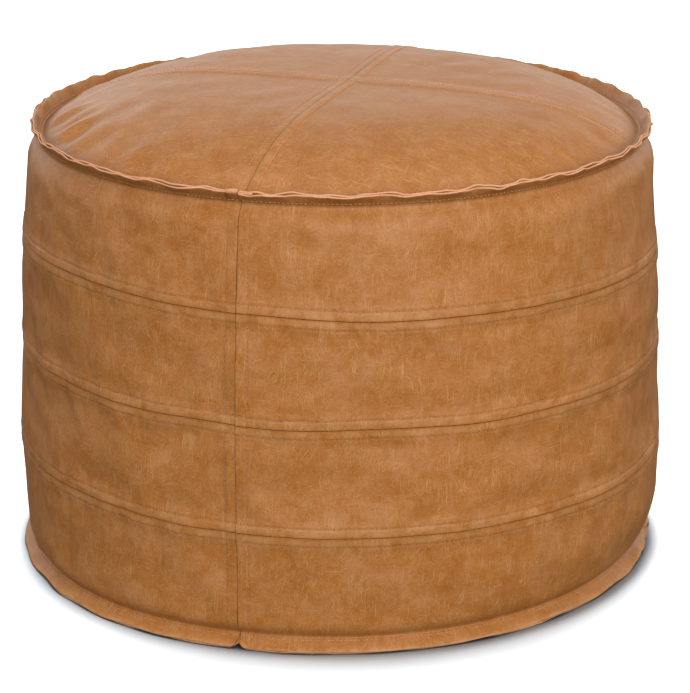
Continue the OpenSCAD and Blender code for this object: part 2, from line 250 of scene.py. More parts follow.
class Settled:
    """Heights on a regular grid, read between its points by a cubic B-spline."""

    def __init__(self, heights, u_range, v_range, closed):
        self.heights = heights
        self.u_range, self.v_range = u_range, v_range
        self.closed = closed

    def steps(self, value, span, count, closed):
        """The four grid lines round a value and their weights."""
        cells = count if closed else count - 1
        t = (value - span[0]) / (span[1] - span[0]) * cells
        line = np.floor(t).astype(int)
        f = t - line
        weights = ((1 - f) ** 3 / 6, (3 * f ** 3 - 6 * f ** 2 + 4) / 6,
                   (-3 * f ** 3 + 3 * f ** 2 + 3 * f + 1) / 6, f ** 3 / 6)
        lines = [line + k for k in (-1, 0, 1, 2)]
        lines = [k % count if closed else np.clip(k, 0, count - 1) for k in lines]
        return list(zip(lines, weights))

    def __call__(self, u, v):
        rows, columns = self.heights.shape
        across = self.steps(u, self.u_range, columns, self.closed)
        down = self.steps(v, self.v_range, rows, False)
        return sum(self.heights[j, i] * wi * wj for i, wi in across for j, wj in down)


STILL = Settled(np.zeros((4, 4)), (0.0, 1.0), (0.0, 1.0), False)
wall_settled = STILL
crown_settled = STILL


def wall_point(theta, z, depth=0.0):
    """A point of the side bands. z is the level before the seams' tilt, depth is below the surface."""
    theta, z, depth = np.broadcast_arrays(*[np.asarray(a, float) for a in (theta, z, depth)])
    calm = smooth((z - BASE_ROOT[1]) / 18) * smooth((TOP_ROOT[1] - z) / 18)
    high = z + warp(theta, z)
    u = theta * BODY_R
    r = wall_r(high) + seam_relief(theta, z) + closing_relief(theta) * calm
    r = r + calm * (0.9 * wall_lumps(u, z) + 0.28 * wall_small(u, z) + wall_settled(theta, z)) - depth
    return np.stack([r * np.cos(theta), r * np.sin(theta), high], -1)


# The top's cross seams meet a little off the middle
CROSS = np.array([8.6, -3.9])


def crown_z(r):
    return crown_root[1] + (TOP_Z - crown_root[1]) * (1 - (r / crown_root[0]) ** CROWN_POWER)


def cross_pull(x, y):
    """Moves the top's pattern so that its seams cross at CROSS, and leaves the rim in place."""
    hold = 1 - np.clip(np.hypot(x, y) / crown_root[0], 0, 1) ** 2
    return x + CROSS[0] * hold, y + CROSS[1] * hold


def crown_relief(x, y, dx, dy):
    """x, y is the place, dx and dy the distances from the two seams."""
    r, theta = np.hypot(x, y), np.arctan2(y, x)
    calm = smooth((crown_root[0] - r) / 40)
    near_rim = bell(r - 211, 17)
    out = calm * (0.6 * top_lumps(x, y) + 0.25 * top_small(x, y))
    left = bell((theta - TILT_TOWARDS - math.radians(14) + math.pi) % TAU - math.pi, math.radians(24))
    out = out + near_rim * smooth((crown_root[0] - r) / 12) * rim_pucker(theta) * (0.30 + 2.3 * left)
    open_seam = np.minimum(ridge(dx) + 0.0, 9)
    other_seam = np.minimum(ridge(dy) + 0.0, 9)
    lift = np.where(dx < 20, open_seam, 0) + np.where(dy < 20, other_seam, 0)
    both = smooth((20 - dx) / 10) * smooth((20 - dy) / 10)
    return out + 0.65 * lift * (1 - 0.4 * both)


def crown_point(x, y, depth=0.0):
    """A point of the top cover. x and y are the pattern's, before the cross is pulled off the middle."""
    x, y, depth = np.broadcast_arrays(*[np.asarray(a, float) for a in (x, y, depth)])
    px, py = cross_pull(x, y)
    z = crown_z(np.hypot(px, py)) + crown_relief(px, py, np.abs(x), np.abs(y)) + crown_settled(px, py) - depth
    return np.stack([px, py, z], -1)


def edge_offsets(theta, s, width, top, upper):
    """How far a ply of a raw edge bends across itself, at s along its width."""
    free = smooth((s - 2.5) / (width - 2.5))
    if top:
        common = 0.95 * top_wave(theta) + 0.20 * top_fine(theta)
        opening = np.maximum(0.26 + 0.32 * top_open(theta), 0.02)
    else:
        common = 1.2 * base_wave(theta)
        opening = np.maximum(0.25 + 0.4 * base_open(theta), 0.02)
        common = np.maximum(common, -0.1)
    return common * free * (s / width) + (0.5 if upper else -0.5) * opening * free


def stands_up(theta):
    """How much steeper the top edge stands than at the front: most at the back and on the left."""
    back = 0.5 - 0.5 * np.cos(theta - CAMERA_SIDE)
    left = bell((theta - CAMERA_SIDE + TAU / 2) % TAU - TAU / 2 + math.radians(95), math.radians(38))
    return math.radians(13) * back + math.radians(11) * left


def edge_point(theta, s, root, along, across, width, sign, top, depth=0.0):
    """A point of a raw edge's ply: sign is 1 for the ply above the seam and -1 for the one below."""
    theta, s = np.broadcast_arrays(np.asarray(theta, float), np.asarray(s, float))
    cut = (top_cut if top else base_cut)[0 if sign > 0 else 1](theta)
    rough = 0.06 if top else 0.05 + 0.11 * bell((theta - VIEW_AZIMUTH + math.pi) % TAU - math.pi, math.radians(30))
    reach = s * (1 + rough * cut)
    if not top:
        corner = bell(((theta - CLOSING + math.pi) % TAU - math.pi) * BODY_R, 3.0)
        reach = reach * (1 - 0.35 * corner)
    bend = edge_offsets(theta, s, width, top, sign > 0) + sign * (SIDE - depth)
    extra = stands_up(theta) if top else np.zeros_like(theta)
    c, k = np.cos(extra), np.sin(extra)
    r = root[0] + (along[0] * c - along[1] * k) * reach + (across[0] * c - across[1] * k) * bend
    z = root[1] + (along[1] * c + along[0] * k) * reach + (across[1] * c + across[0] * k) * bend
    if not top:
        z = np.maximum(z, 0.0 if sign < 0 else PLY)
    return np.stack([r * np.cos(theta), r * np.sin(theta), z], -1)


# --- meshes ----------------------------------------------------------------------------------


def settled(points):
    """The foot drawn in on the right and spread at the front left, as the pouf has come to sit."""
    r = np.hypot(points[..., 0], points[..., 1])
    theta = np.arctan2(points[..., 1], points[..., 0])
    right = bell((theta - CAMERA_SIDE - math.radians(62) + math.pi) % TAU - math.pi, math.radians(42))
    left = bell((theta - CAMERA_SIDE + math.radians(42) + math.pi) % TAU - math.pi, math.radians(26))
    push = (4.5 * left - 8.0 * right) * smooth((r - 222) / 22) * smooth((52 - points[..., 2]) / 44)
    grown = 1 + push / np.maximum(r, 1)
    return np.concatenate([points[..., :2] * grown[..., None], points[..., 2:]], -1)


def new_piece(name, points, faces, body, nodes, slot, materials, uv=None, smooth_shade=True):
    """A mesh piece from points in millimetres that rides on a body and stands for CAD nodes."""
    points = np.asarray(points, float)
    if body == "cover":
        points = settled(points)
    mesh = bpy.data.meshes.new(name)
    mesh.from_pydata((points * MM).tolist(), [], [tuple(map(int, f)) for f in faces])
    mesh.update()
    if uv is not None:
        layer = mesh.uv_layers.new(name="flat")
        loops = np.empty(len(mesh.loops), np.int32)
        mesh.loops.foreach_get("vertex_index", loops)
        layer.data.foreach_set("uv", (np.asarray(uv)[loops] * MM).astype(np.float32).ravel())
    if smooth_shade:
        mesh.polygons.foreach_set("use_smooth", np.ones(len(mesh.polygons), bool))
    piece = bpy.data.objects.new(name, mesh)
    bpy.context.scene.collection.objects.link(piece)
    for m in materials:
        mesh.materials.append(m)
    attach(piece, body)
    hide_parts(*nodes)
    return piece


def grid_faces(rows, columns, closed=False, keep=None):
    """Quads of a grid of rows by columns of points, row after row."""
    j = np.arange(columns if closed else columns - 1)
    i = np.arange(rows - 1)
    a = (i[:, None] * columns + j[None, :]).ravel()
    b = (i[:, None] * columns + ((j + 1) % columns)[None, :]).ravel()
    quads = np.stack([a, b, b + columns, a + columns], 1)
    return quads if keep is None else quads[keep.ravel()]


def set_attribute(piece, name, values):
    layer = piece.data.attributes.new(name, "FLOAT", "POINT")
    layer.data.foreach_set("value", np.asarray(values, np.float32).ravel())


def thicken(piece, thickness=PLY, rim=True):
    solid = piece.modifiers.new("thickness", "SOLIDIFY")
    solid.thickness = thickness * MM
    solid.offset = -1
    solid.use_even_offset = False
    solid.use_quality_normals = True
    if rim:
        solid.material_offset_rim = 1


NEAR_SEAM = [0.5, 1.0, 1.6, 2.4, 3.4, 4.4, 5.2, 5.9, 6.4, 6.8, 7.2, 7.6, 8.2, 9.0, 10.0, 11.5, 13.5, 16.0]


def fold_rows(turn_w):
    """The turned-in leather at a seam, from its raw end to the surface: (distance, depth, kind) rows."""
    flap = [(TURN_IN, FOLD_T), (6.0, FOLD_T), (2.5, FOLD_T)]
    turn = []
    for a in np.linspace(-80, 80, 7):
        turn.append((turn_w * (1 - math.cos(math.radians(a))) * 0.9 + GAP / 2,
                     FOLD_T / 2 - FOLD_T / 2 * math.sin(math.radians(a))))
    return flap + turn


def across_panel(low, high, low_fold, high_fold, step, turn_w=FOLD_W):
    """Rows over a panel from one edge to the other: arrays of place, depth and whether it is turned in."""
    place, depth, inside = [], [], []
    if low_fold:
        for d, deep in fold_rows(turn_w):
            place.append(low + d)
            depth.append(deep)
            inside.append(deep > FOLD_T * 0.9)
        for d in NEAR_SEAM:
            place.append(low + GAP / 2 + d)
            depth.append(0.4 * turn_w * bell(d, 0.5))
            inside.append(False)
    start = place[-1] if low_fold else low
    end = high - GAP / 2 - NEAR_SEAM[-1] if high_fold else high
    count = max(int(round((end - start) / step)), 1)
    middle = np.linspace(start, end, count + 1)
    for p in middle[1 if low_fold else 0 : -1 if high_fold else None]:
        place.append(p)
        depth.append(0.0)
        inside.append(False)
    if high_fold:
        for d in reversed(NEAR_SEAM):
            place.append(high - GAP / 2 - d)
            depth.append(0.4 * turn_w * bell(d, 0.5))
            inside.append(False)
        for d, deep in reversed(fold_rows(turn_w)):
            place.append(high - d)
            depth.append(deep)
            inside.append(deep > FOLD_T * 0.9)
    return np.array(place), np.array(depth), np.array(inside)


def panel_uv(seed):
    """Where on the hide a panel was cut."""
    return np.random.default_rng(seed).uniform(500, 9000, 2)


# --- materials ---------------------------------------------------------------------------------


class Nodes:
    """Short calls for building a material's node tree."""

    def __init__(self, name):
        self.material = bpy.data.materials.new(name)
        self.material.use_nodes = True
        self.tree = self.material.node_tree
        self.shader = next(n for n in self.tree.nodes if n.type == "BSDF_PRINCIPLED")

    def put(self, socket, value):
        if isinstance(value, bpy.types.NodeSocket):
            self.tree.links.new(value, socket)
        else:
            socket.default_value = value

    def add(self, kind, inputs=(), **settings):
        n = self.tree.nodes.new("ShaderNode" + kind)
        for key, value in settings.items():
            setattr(n, key, value)
        for key, value in dict(inputs).items():
            self.put(n.inputs[key], value)
        return n

    def math(self, operation, a, b=0.0, c=0.0):
        n = self.add("Math", {0: a, 1: b, 2: c}, operation=operation)
        return n.outputs[0]

    def noise(self, vector, scale, detail=3.0, rough=0.5, distortion=0.0):
        n = self.add("TexNoise", {
            "Vector": vector, "Scale": scale, "Detail": detail, "Roughness": rough, "Distortion": distortion})
        return n.outputs["Fac"]

    def ramp(self, value, low, high):
        """0 below low, 1 above high, smooth between."""
        n = self.add("MapRange", {"Value": value, "From Min": low, "From Max": high},
                     interpolation_type="SMOOTHSTEP")
        return n.outputs["Result"]

    def scaled(self, vector, x, y, z=1.0):
        return self.add("Mapping", {"Vector": vector, "Scale": (x, y, z)}).outputs["Vector"]

    def mix(self, factor, a, b, blend="MIX"):
        n = self.add("Mix", data_type="RGBA", blend_type=blend)
        self.put(n.inputs["Factor"], factor)
        self.put(n.inputs["A"], a)
        self.put(n.inputs["B"], b)
        return n.outputs["Result"]

    def bump(self, height, distance, strength=1.0, normal=None):
        inputs = {"Height": height, "Distance": distance, "Strength": strength}
        if normal is not None:
            inputs["Normal"] = normal
        return self.add("Bump", inputs).outputs["Normal"]

    def shade(self, **inputs):
        for key, value in inputs.items():
            self.put(self.shader.inputs[key.replace("_", " ").title()], value)
        return self.material


def rgb(r, g, b):
    return (r, g, b, 1.0)


LEATHER_DARK = rgb(0.226, 0.0735, 0.0100)
LEATHER_MID = rgb(0.248, 0.0910, 0.0185)
LEATHER_LIGHT = rgb(0.284, 0.1160, 0.0395)
LEATHER_VEIN = rgb(0.365, 0.192, 0.0760)
CUT_EDGE = rgb(0.500, 0.240, 0.132)


def warped(n, vector, scale, amount):
    """A vector pushed about by noise."""
    push = n.add("TexNoise", {"Vector": vector, "Scale": scale, "Detail": 2.0})
    away = n.add("VectorMath", {0: push.outputs["Color"], 1: (0.5, 0.5, 0.5)}, operation="SUBTRACT")
    much = n.add("VectorMath", {0: away.outputs[0], "Scale": amount}, operation="SCALE")
    return n.add("VectorMath", {0: vector, 1: much.outputs[0]}, operation="ADD").outputs[0]


# Direction in degrees from the pattern's v, length and width in metres, and strength
FIBRES = ((2, 0.026, 0.0010, 0.66), (-20, 0.015, 0.0009, 0.54), (27, 0.016, 0.0009, 0.54),
          (88, 0.020, 0.0009, 0.46), (-62, 0.010, 0.0009, 0.42), (9, 0.006, 0.0007, 0.50), (70, 0.006, 0.0008, 0.42))


def leather_material(name, along_v=True):
    """Distressed tan leather. The veins run mostly along the pattern's v, or along u."""
    n = Nodes(name)
    flat = n.add("UVMap", uv_map="flat").outputs["UV"]
    loose = warped(n, flat, 60, 0.014)
    curved = warped(n, warped(n, flat, 90, 0.0035), 190, 0.0030)
    turn = 0.0 if along_v else math.pi / 2
    cloud = n.noise(loose, 26, 5, 0.6)
    patch = n.noise(loose, 85, 6, 0.62)
    speck = n.noise(flat, 620, 4, 0.65)
    tone = n.math("ADD", n.math("MULTIPLY", cloud, 0.32), n.math("MULTIPLY", patch, 0.36))
    tone = n.math("ADD", tone, n.math("MULTIPLY", speck, 0.32))
    colour = n.mix(n.ramp(tone, 0.40, 0.505), LEATHER_DARK, LEATHER_MID)
    colour = n.mix(n.ramp(tone, 0.485, 0.60), colour, LEATHER_LIGHT)

    # Creases in the finish: short pale fibres, each direction showing in patches of its own
    light = None
    for k, (angle, length, width, share) in enumerate(FIBRES):
        turned = n.add("Mapping", {"Vector": curved, "Rotation": (0.0, 0.0, math.radians(angle) + turn)})
        drawn = n.scaled(turned.outputs["Vector"], 1 / width, 1 / length)
        fibre = n.ramp(n.noise(drawn, 1.0, 2, 0.6), 0.53, 0.66)
        moved = n.add("Mapping", {"Vector": flat, "Location": (0.31 * k, 0.17 * k, 0.0)}).outputs["Vector"]
        fibre = n.math("MULTIPLY", fibre, n.ramp(n.noise(moved, 48, 3, 0.6), 0.42, 0.62))
        fibre = n.math("MULTIPLY", fibre, share)
        light = fibre if light is None else n.math("MAXIMUM", light, fibre)
    colour = n.mix(light, colour, LEATHER_VEIN)

    # Wear: paler on rubbed edges. Painted shade: darker in the roots of the seams and of the raw edges, and in the
    # zip's recess
    worn = n.add("Attribute", attribute_name="worn").outputs["Fac"]
    painted_shade = n.add("Attribute", attribute_name="painted_shade").outputs["Fac"]
    rubbed = n.math("MULTIPLY", worn, n.ramp(patch, 0.35, 0.6))
    colour = n.mix(n.math("MULTIPLY", rubbed, 0.55), colour, LEATHER_VEIN)
    # Painted shade: dark brown mixed in by the shade mask read above, where shade falls in roots and recesses
    colour = n.mix(n.math("MULTIPLY", painted_shade, 0.6), colour, rgb(0.145, 0.048, 0.009))

    grain = n.add("TexVoronoi", {"Vector": loose, "Scale": 900.0, "Randomness": 1.0}, feature="F1")
    pebble = n.math("MULTIPLY", grain.outputs["Distance"], 0.5)
    skin = n.math("ADD", pebble, n.math("MULTIPLY", n.noise(flat, 300, 4, 0.6), 0.9))
    skin = n.math("ADD", skin, n.math("MULTIPLY", light, 0.35))
    normal = n.bump(skin, 0.00012, 0.75)
    normal = n.bump(n.noise(loose, 60, 3, 0.5), 0.0007, 0.5, normal)
    rough = n.math("ADD", 0.40, n.math("MULTIPLY", n.ramp(patch, 0.3, 0.7), 0.10))
    rough = n.math("ADD", rough, n.math("MULTIPLY", speck, 0.06))
    n.shader.inputs["Specular IOR Level"].default_value = 0.18
    return n.shade(base_color=colour, roughness=rough, normal=normal)


def cut_leather_material():
    """The raw edge of a ply: pale, fibrous and matt."""
    n = Nodes("leather_cut")
    place = n.add("TexCoord").outputs["Object"]
    fibre = n.noise(place, 900, 4, 0.7)
    colour = n.mix(n.ramp(fibre, 0.3, 0.7), rgb(0.420, 0.185, 0.085), CUT_EDGE)
    colour = n.mix(n.ramp(n.noise(place, 90, 3, 0.5), 0.5, 0.7), colour, rgb(0.470, 0.230, 0.130))
    return n.shade(base_color=colour, roughness=0.8, normal=n.bump(fibre, 0.0003, 0.8))


def thread_material(name, dark, light):
    """Twisted sewing thread."""
    n = Nodes(name)
    place = n.add("TexCoord").outputs["Object"]
    tone = n.noise(place, 700, 3, 0.6)
    colour = n.mix(n.ramp(tone, 0.35, 0.65), dark, light)
    twist = n.add("TexWave", {"Vector": place, "Scale": 1400.0, "Distortion": 3.0}, bands_direction="DIAGONAL")
    return n.shade(base_color=colour, roughness=0.62, normal=n.bump(twist.outputs["Fac"], 0.0001, 0.7))


def cloth_material(name, dark, light, pitch=0.0006):
    """A plain weave: over and under threads of one pitch."""
    n = Nodes(name)
    place = n.add("TexCoord").outputs["Object"]
    scale = 1 / pitch
    warp_t = n.add("TexWave", {"Vector": place, "Scale": scale / 6.28}, bands_direction="X")
    weft_t = n.add("TexWave", {"Vector": place, "Scale": scale / 6.28}, bands_direction="Y")
    weave = n.math("MULTIPLY", warp_t.outputs["Fac"], weft_t.outputs["Fac"])
    tone = n.math("ADD", n.math("MULTIPLY", weave, 0.6), n.math("MULTIPLY", n.noise(place, 60, 4, 0.6), 0.4))
    colour = n.mix(n.ramp(tone, 0.15, 0.75), dark, light)
    return n.shade(base_color=colour, roughness=0.85, normal=n.bump(weave, 0.0002, 0.8))


def bead_material():
    """Packed polystyrene beads, 3 to 5 mm across."""
    n = Nodes("beads")
    place = n.add("TexCoord").outputs["Object"]
    cells = n.add("TexVoronoi", {"Vector": place, "Scale": 240.0}, feature="F1")
    ball = n.math("SUBTRACT", 1.0, n.ramp(cells.outputs["Distance"], 0.0, 0.8))
    # Painted shade: the colour darkens from each bead's middle to its rim, as shade falls between the beads
    colour = n.mix(ball, rgb(0.55, 0.54, 0.50), rgb(0.90, 0.90, 0.87))
    return n.shade(base_color=colour, roughness=0.6, normal=n.bump(ball, 0.0015, 1.0))


def metal_material():
    """Antique brass, tarnished darker in random patches, with fine scuffs."""
    n = Nodes("zip_metal")
    place = n.add("TexCoord").outputs["Object"]
    tarnish = n.ramp(n.noise(place, 500, 4, 0.6), 0.35, 0.68)
    colour = n.mix(tarnish, rgb(0.36, 0.22, 0.09), rgb(0.72, 0.52, 0.24))
    scuffs = n.noise(n.scaled(place, 300, 4000, 300), 1.0, 2, 0.6)
    rough = n.math("ADD", 0.28, n.math("MULTIPLY", scuffs, 0.25))
    n.shader.inputs["Metallic"].default_value = 1.0
    return n.shade(base_color=colour, roughness=rough, normal=n.bump(scuffs, 0.00002, 0.5))


leather_wall = leather_material("leather_wall", along_v=True)
leather_top = leather_material("leather_top", along_v=False)
leather_cut = cut_leather_material()
thread_tan = thread_material("thread_tan", rgb(0.420, 0.120, 0.022), rgb(0.600, 0.220, 0.060))
# A darker copy of the same thread: painted shade, for rows that sit in shade on the sides and under the pouf
thread_brown = thread_material("thread_brown", rgb(0.195, 0.076, 0.021), rgb(0.350, 0.155, 0.056))
# A dimmer copy of the tan thread: painted shade, for the rows under the top's raw edge and round the base edge
thread_shaded_tan = thread_material("thread_shaded_tan", rgb(0.330, 0.125, 0.036), rgb(0.470, 0.210, 0.085))
liner_cloth = cloth_material("liner_cloth", rgb(0.55, 0.52, 0.45), rgb(0.86, 0.83, 0.76))
tape_cloth = cloth_material("tape_cloth", rgb(0.16, 0.08, 0.035), rgb(0.34, 0.19, 0.09), 0.0008)
beads = bead_material()
zip_metal = metal_material()

# --- how the stuffed leather settles -----------------------------------------------------------

SETTLE_FRAMES = 22
SETTLE_LIMIT = 1.8


def simulate_cloth(points, faces, held, slack, pressure):
    """Lets a stuffed sheet of leather settle, held along its seams; gives where its points end up, in millimetres."""
    mesh = bpy.data.meshes.new("settling")
    mesh.from_pydata((points * MM).tolist(), [], faces)
    sheet = bpy.data.objects.new("settling", mesh)
    scene = bpy.context.scene
    scene.collection.objects.link(sheet)
    pins = sheet.vertex_groups.new(name="held")
    pins.add([int(i) for i in np.nonzero(held)[0]], 1.0, "REPLACE")
    cloth = sheet.modifiers.new("cloth", "CLOTH")
    leather = cloth.settings
    leather.vertex_group_mass = "held"
    leather.quality = 8
    leather.mass = 0.3
    leather.tension_stiffness = 40
    leather.compression_stiffness = 40
    leather.shear_stiffness = 20
    leather.bending_stiffness = 4
    leather.tension_damping = 15
    leather.air_damping = 6
    leather.shrink_min = -slack
    leather.use_pressure = True
    leather.uniform_pressure_force = pressure
    leather.effector_weights.gravity = 0.0
    cloth.point_cache.frame_start = 1
    cloth.point_cache.frame_end = SETTLE_FRAMES
    for frame in range(1, SETTLE_FRAMES + 1):
        scene.frame_set(frame)
    ready = sheet.evaluated_get(bpy.context.evaluated_depsgraph_get())
    ends = np.empty(len(points) * 3, np.float32)
    ready.data.vertices.foreach_get("co", ends)
    scene.frame_set(1)
    bpy.data.objects.remove(sheet)
    bpy.data.meshes.remove(mesh)
    return ends.reshape(-1, 3).astype(float) / MM


def even_out(moved):
    """Takes off the overall swelling, which the fitted profile already has, and caps what is left."""
    moved = moved - moved.mean(axis=1, keepdims=True)
    return SETTLE_LIMIT * np.tanh(moved / SETTLE_LIMIT)


def settle_wall():
    rows, columns = 47, 260
    theta = np.arange(columns) / columns * TAU
    level = np.linspace(BASE_ROOT[1], TOP_ROOT[1], rows)
    for seam in SEAM_Z:
        level[np.argmin(np.abs(level - seam))] = seam
    t, z = np.meshgrid(theta, level)
    u = t * BODY_R
    r = wall_r(z) + 0.8 * wall_small(u, z) + 0.5 * wall_lumps(u, z)
    points = np.stack([r * np.cos(t), r * np.sin(t), z], -1).reshape(-1, 3)
    fixed = (np.arange(rows) == 0) | (np.arange(rows) == rows - 1) | np.isin(level, SEAM_Z)
    held = np.repeat(fixed, columns)
    faces = [(j * columns + i, j * columns + (i + 1) % columns, (j + 1) * columns + (i + 1) % columns,
              (j + 1) * columns + i) for j in range(rows - 1) for i in range(columns)]
    ends = simulate_cloth(points, faces, held, WALL_SLACK, WALL_PRESSURE)
    moved = np.hypot(ends[:, 0], ends[:, 1]).reshape(rows, columns) - r
    return Settled(even_out(moved), (0.0, TAU), (BASE_ROOT[1], TOP_ROOT[1]), True)


def settle_crown():
    count = 61
    reach = crown_root[0]
    line = np.linspace(-reach, reach, count)
    x, y = np.meshgrid(line, line)
    r = np.hypot(x, y)
    z = crown_z(np.minimum(r, reach)) + (0.5 * top_lumps(x, y) + 0.5 * top_small(x, y)) * (r < reach - 20)
    points = np.stack([x, y, z], -1).reshape(-1, 3)
    faces = [(j * count + i, j * count + i + 1, (j + 1) * count + i + 1, (j + 1) * count + i)
             for j in range(count - 1) for i in range(count - 1)]
    ends = simulate_cloth(points, faces, (r > reach - 6).ravel(), CROWN_SLACK, CROWN_PRESSURE)
    moved = ends[:, 2].reshape(count, count) - z
    inside = r < reach - 6
    swell = np.polyfit(r[inside] ** 2, moved[inside], 3)
    moved = np.where(inside, moved - np.polyval(swell, r ** 2), 0.0)
    return Settled(SETTLE_LIMIT * np.tanh(moved / SETTLE_LIMIT), (-reach, reach), (-reach, reach), False)


WALL_SLACK, WALL_PRESSURE = 0.012, 1.5
CROWN_SLACK, CROWN_PRESSURE = 0.006, 1.0
wall_settled = settle_wall()
crown_settled = settle_crown()

# --- side bands -----------------------------------------------------------------------------------

CLOSING = -math.pi / 2
LENGTH = TAU * BODY_R


def round_the_drum(step=2.3):
    """Columns round a band from one side of the closing seam to the other: place, depth, turned in."""
    return across_panel(0.0, LENGTH, True, True, step, PRESSED_W)


def band(name, low, high, low_edge, high_edge, seed):
    """A side band between two seams, or between a seam and a raw edge."""
    across, col_depth, col_in = round_the_drum()
    theta = CLOSING + across / BODY_R
    z_low = SEAM_Z[low] if low is not None else BASE_ROOT[1] + 3
    z_high = SEAM_Z[high] if high is not None else TOP_ROOT[1] - 3
    place, depth, inside = across_panel(z_low, z_high, low is not None, high is not None, 3.0)
    points = wall_point(theta[None, :], place[:, None], depth[:, None] + col_depth[None, :])
    rows_in = inside
    u = np.broadcast_to(across[None, :], points.shape[:2])
    v = np.broadcast_to(place[:, None], points.shape[:2])
    worn = np.zeros(points.shape[:2])
    # Painted shade: darker in each seam's groove and along its stitch rows
    painted_shade = np.zeros(points.shape[:2])
    for seam in SEAM_Z:
        d = np.abs(place - seam)[:, None]
        worn = worn + 0.5 * bell(d - 4, 2.5)
        painted_shade = painted_shade + 0.75 * bell(d, 0.9) + 0.25 * bell(d - STITCH_OFFSET, 0.6)
    if low_edge or high_edge:
        root, along, across_way, width, top = (
            (TOP_ROOT, top_along, top_across, TOP_EDGE_W, True) if high_edge
            else (BASE_ROOT, base_along, base_across, BASE_EDGE_W, False))
        sign = -1 if high_edge else 1
        s = np.concatenate([[0.7, 2.0, 3.5], np.linspace(5, width, 7)])
        th = np.broadcast_to(theta[None, :], (len(s), len(theta)))
        if low_edge:
            spread = 1.8 * (s[:, None] / width) ** 1.2 * (bell(across, 9) - bell(across - LENGTH, 9))[None, :]
            th = th + spread / BODY_R
        edge = edge_point(th, s[:, None], root, along, across_way, width, sign, top, col_depth[None, :])
        if high_edge:
            jog = 0.9 * (bell(across, 14) - bell(across - LENGTH, 14))[None, :] * (s[:, None] / width)
            edge[..., 2] -= jog
        e_u = np.broadcast_to(across[None, :], edge.shape[:2])
        e_v = np.broadcast_to((z_high + s if high_edge else z_low - s)[:, None], edge.shape[:2])
        e_worn = np.broadcast_to(bell(s - width, 2.5)[:, None], edge.shape[:2])
        # Painted shade at the root of the raw edge, under the ply above it
        e_painted_shade = np.broadcast_to(0.6 * bell(s, 1.6)[:, None], edge.shape[:2])
        e_in = np.zeros(len(s), bool)
        if high_edge:
            points, u, v = [np.concatenate(p) for p in ((points, edge), (u, e_u), (v, e_v))]
            worn, painted_shade = np.concatenate([worn, e_worn]), np.concatenate([painted_shade, e_painted_shade])
            rows_in = np.concatenate([rows_in, e_in])
        else:
            flip = slice(None, None, -1)
            points, u, v = [np.concatenate(p) for p in ((edge[flip], points), (e_u[flip], u), (e_v[flip], v))]
            worn, painted_shade = np.concatenate([e_worn[flip], worn]), np.concatenate([e_painted_shade[flip], painted_shade])
            rows_in = np.concatenate([e_in, rows_in])
    rows, columns = points.shape[:2]
    corner = (rows_in[:-1, None] | rows_in[1:, None]) & (col_in[None, :-1] | col_in[None, 1:])
    faces = grid_faces(rows, columns, keep=~corner)
    shift = panel_uv(seed)
    uv = np.stack([u.ravel() + shift[0], v.ravel() + shift[1]], 1)
    piece = new_piece(name, points.reshape(-1, 3), faces, "cover", [name], "leather",
                      [leather_wall, leather_cut], uv)
    set_attribute(piece, "worn", np.clip(worn, 0, 1))
    set_attribute(piece, "painted_shade", np.clip(painted_shade, 0, 1))
    thicken(piece)
    return piece


band("side_band_bottom", None, 0, True, False, 51)
band("side_band_lower", 0, 1, False, False, 52)
band("side_band_upper", 1, 2, False, False, 53)
band("side_band_top", 2, None, False, True, 54)

# --- the top ------------------------------------------------------------------------------------------


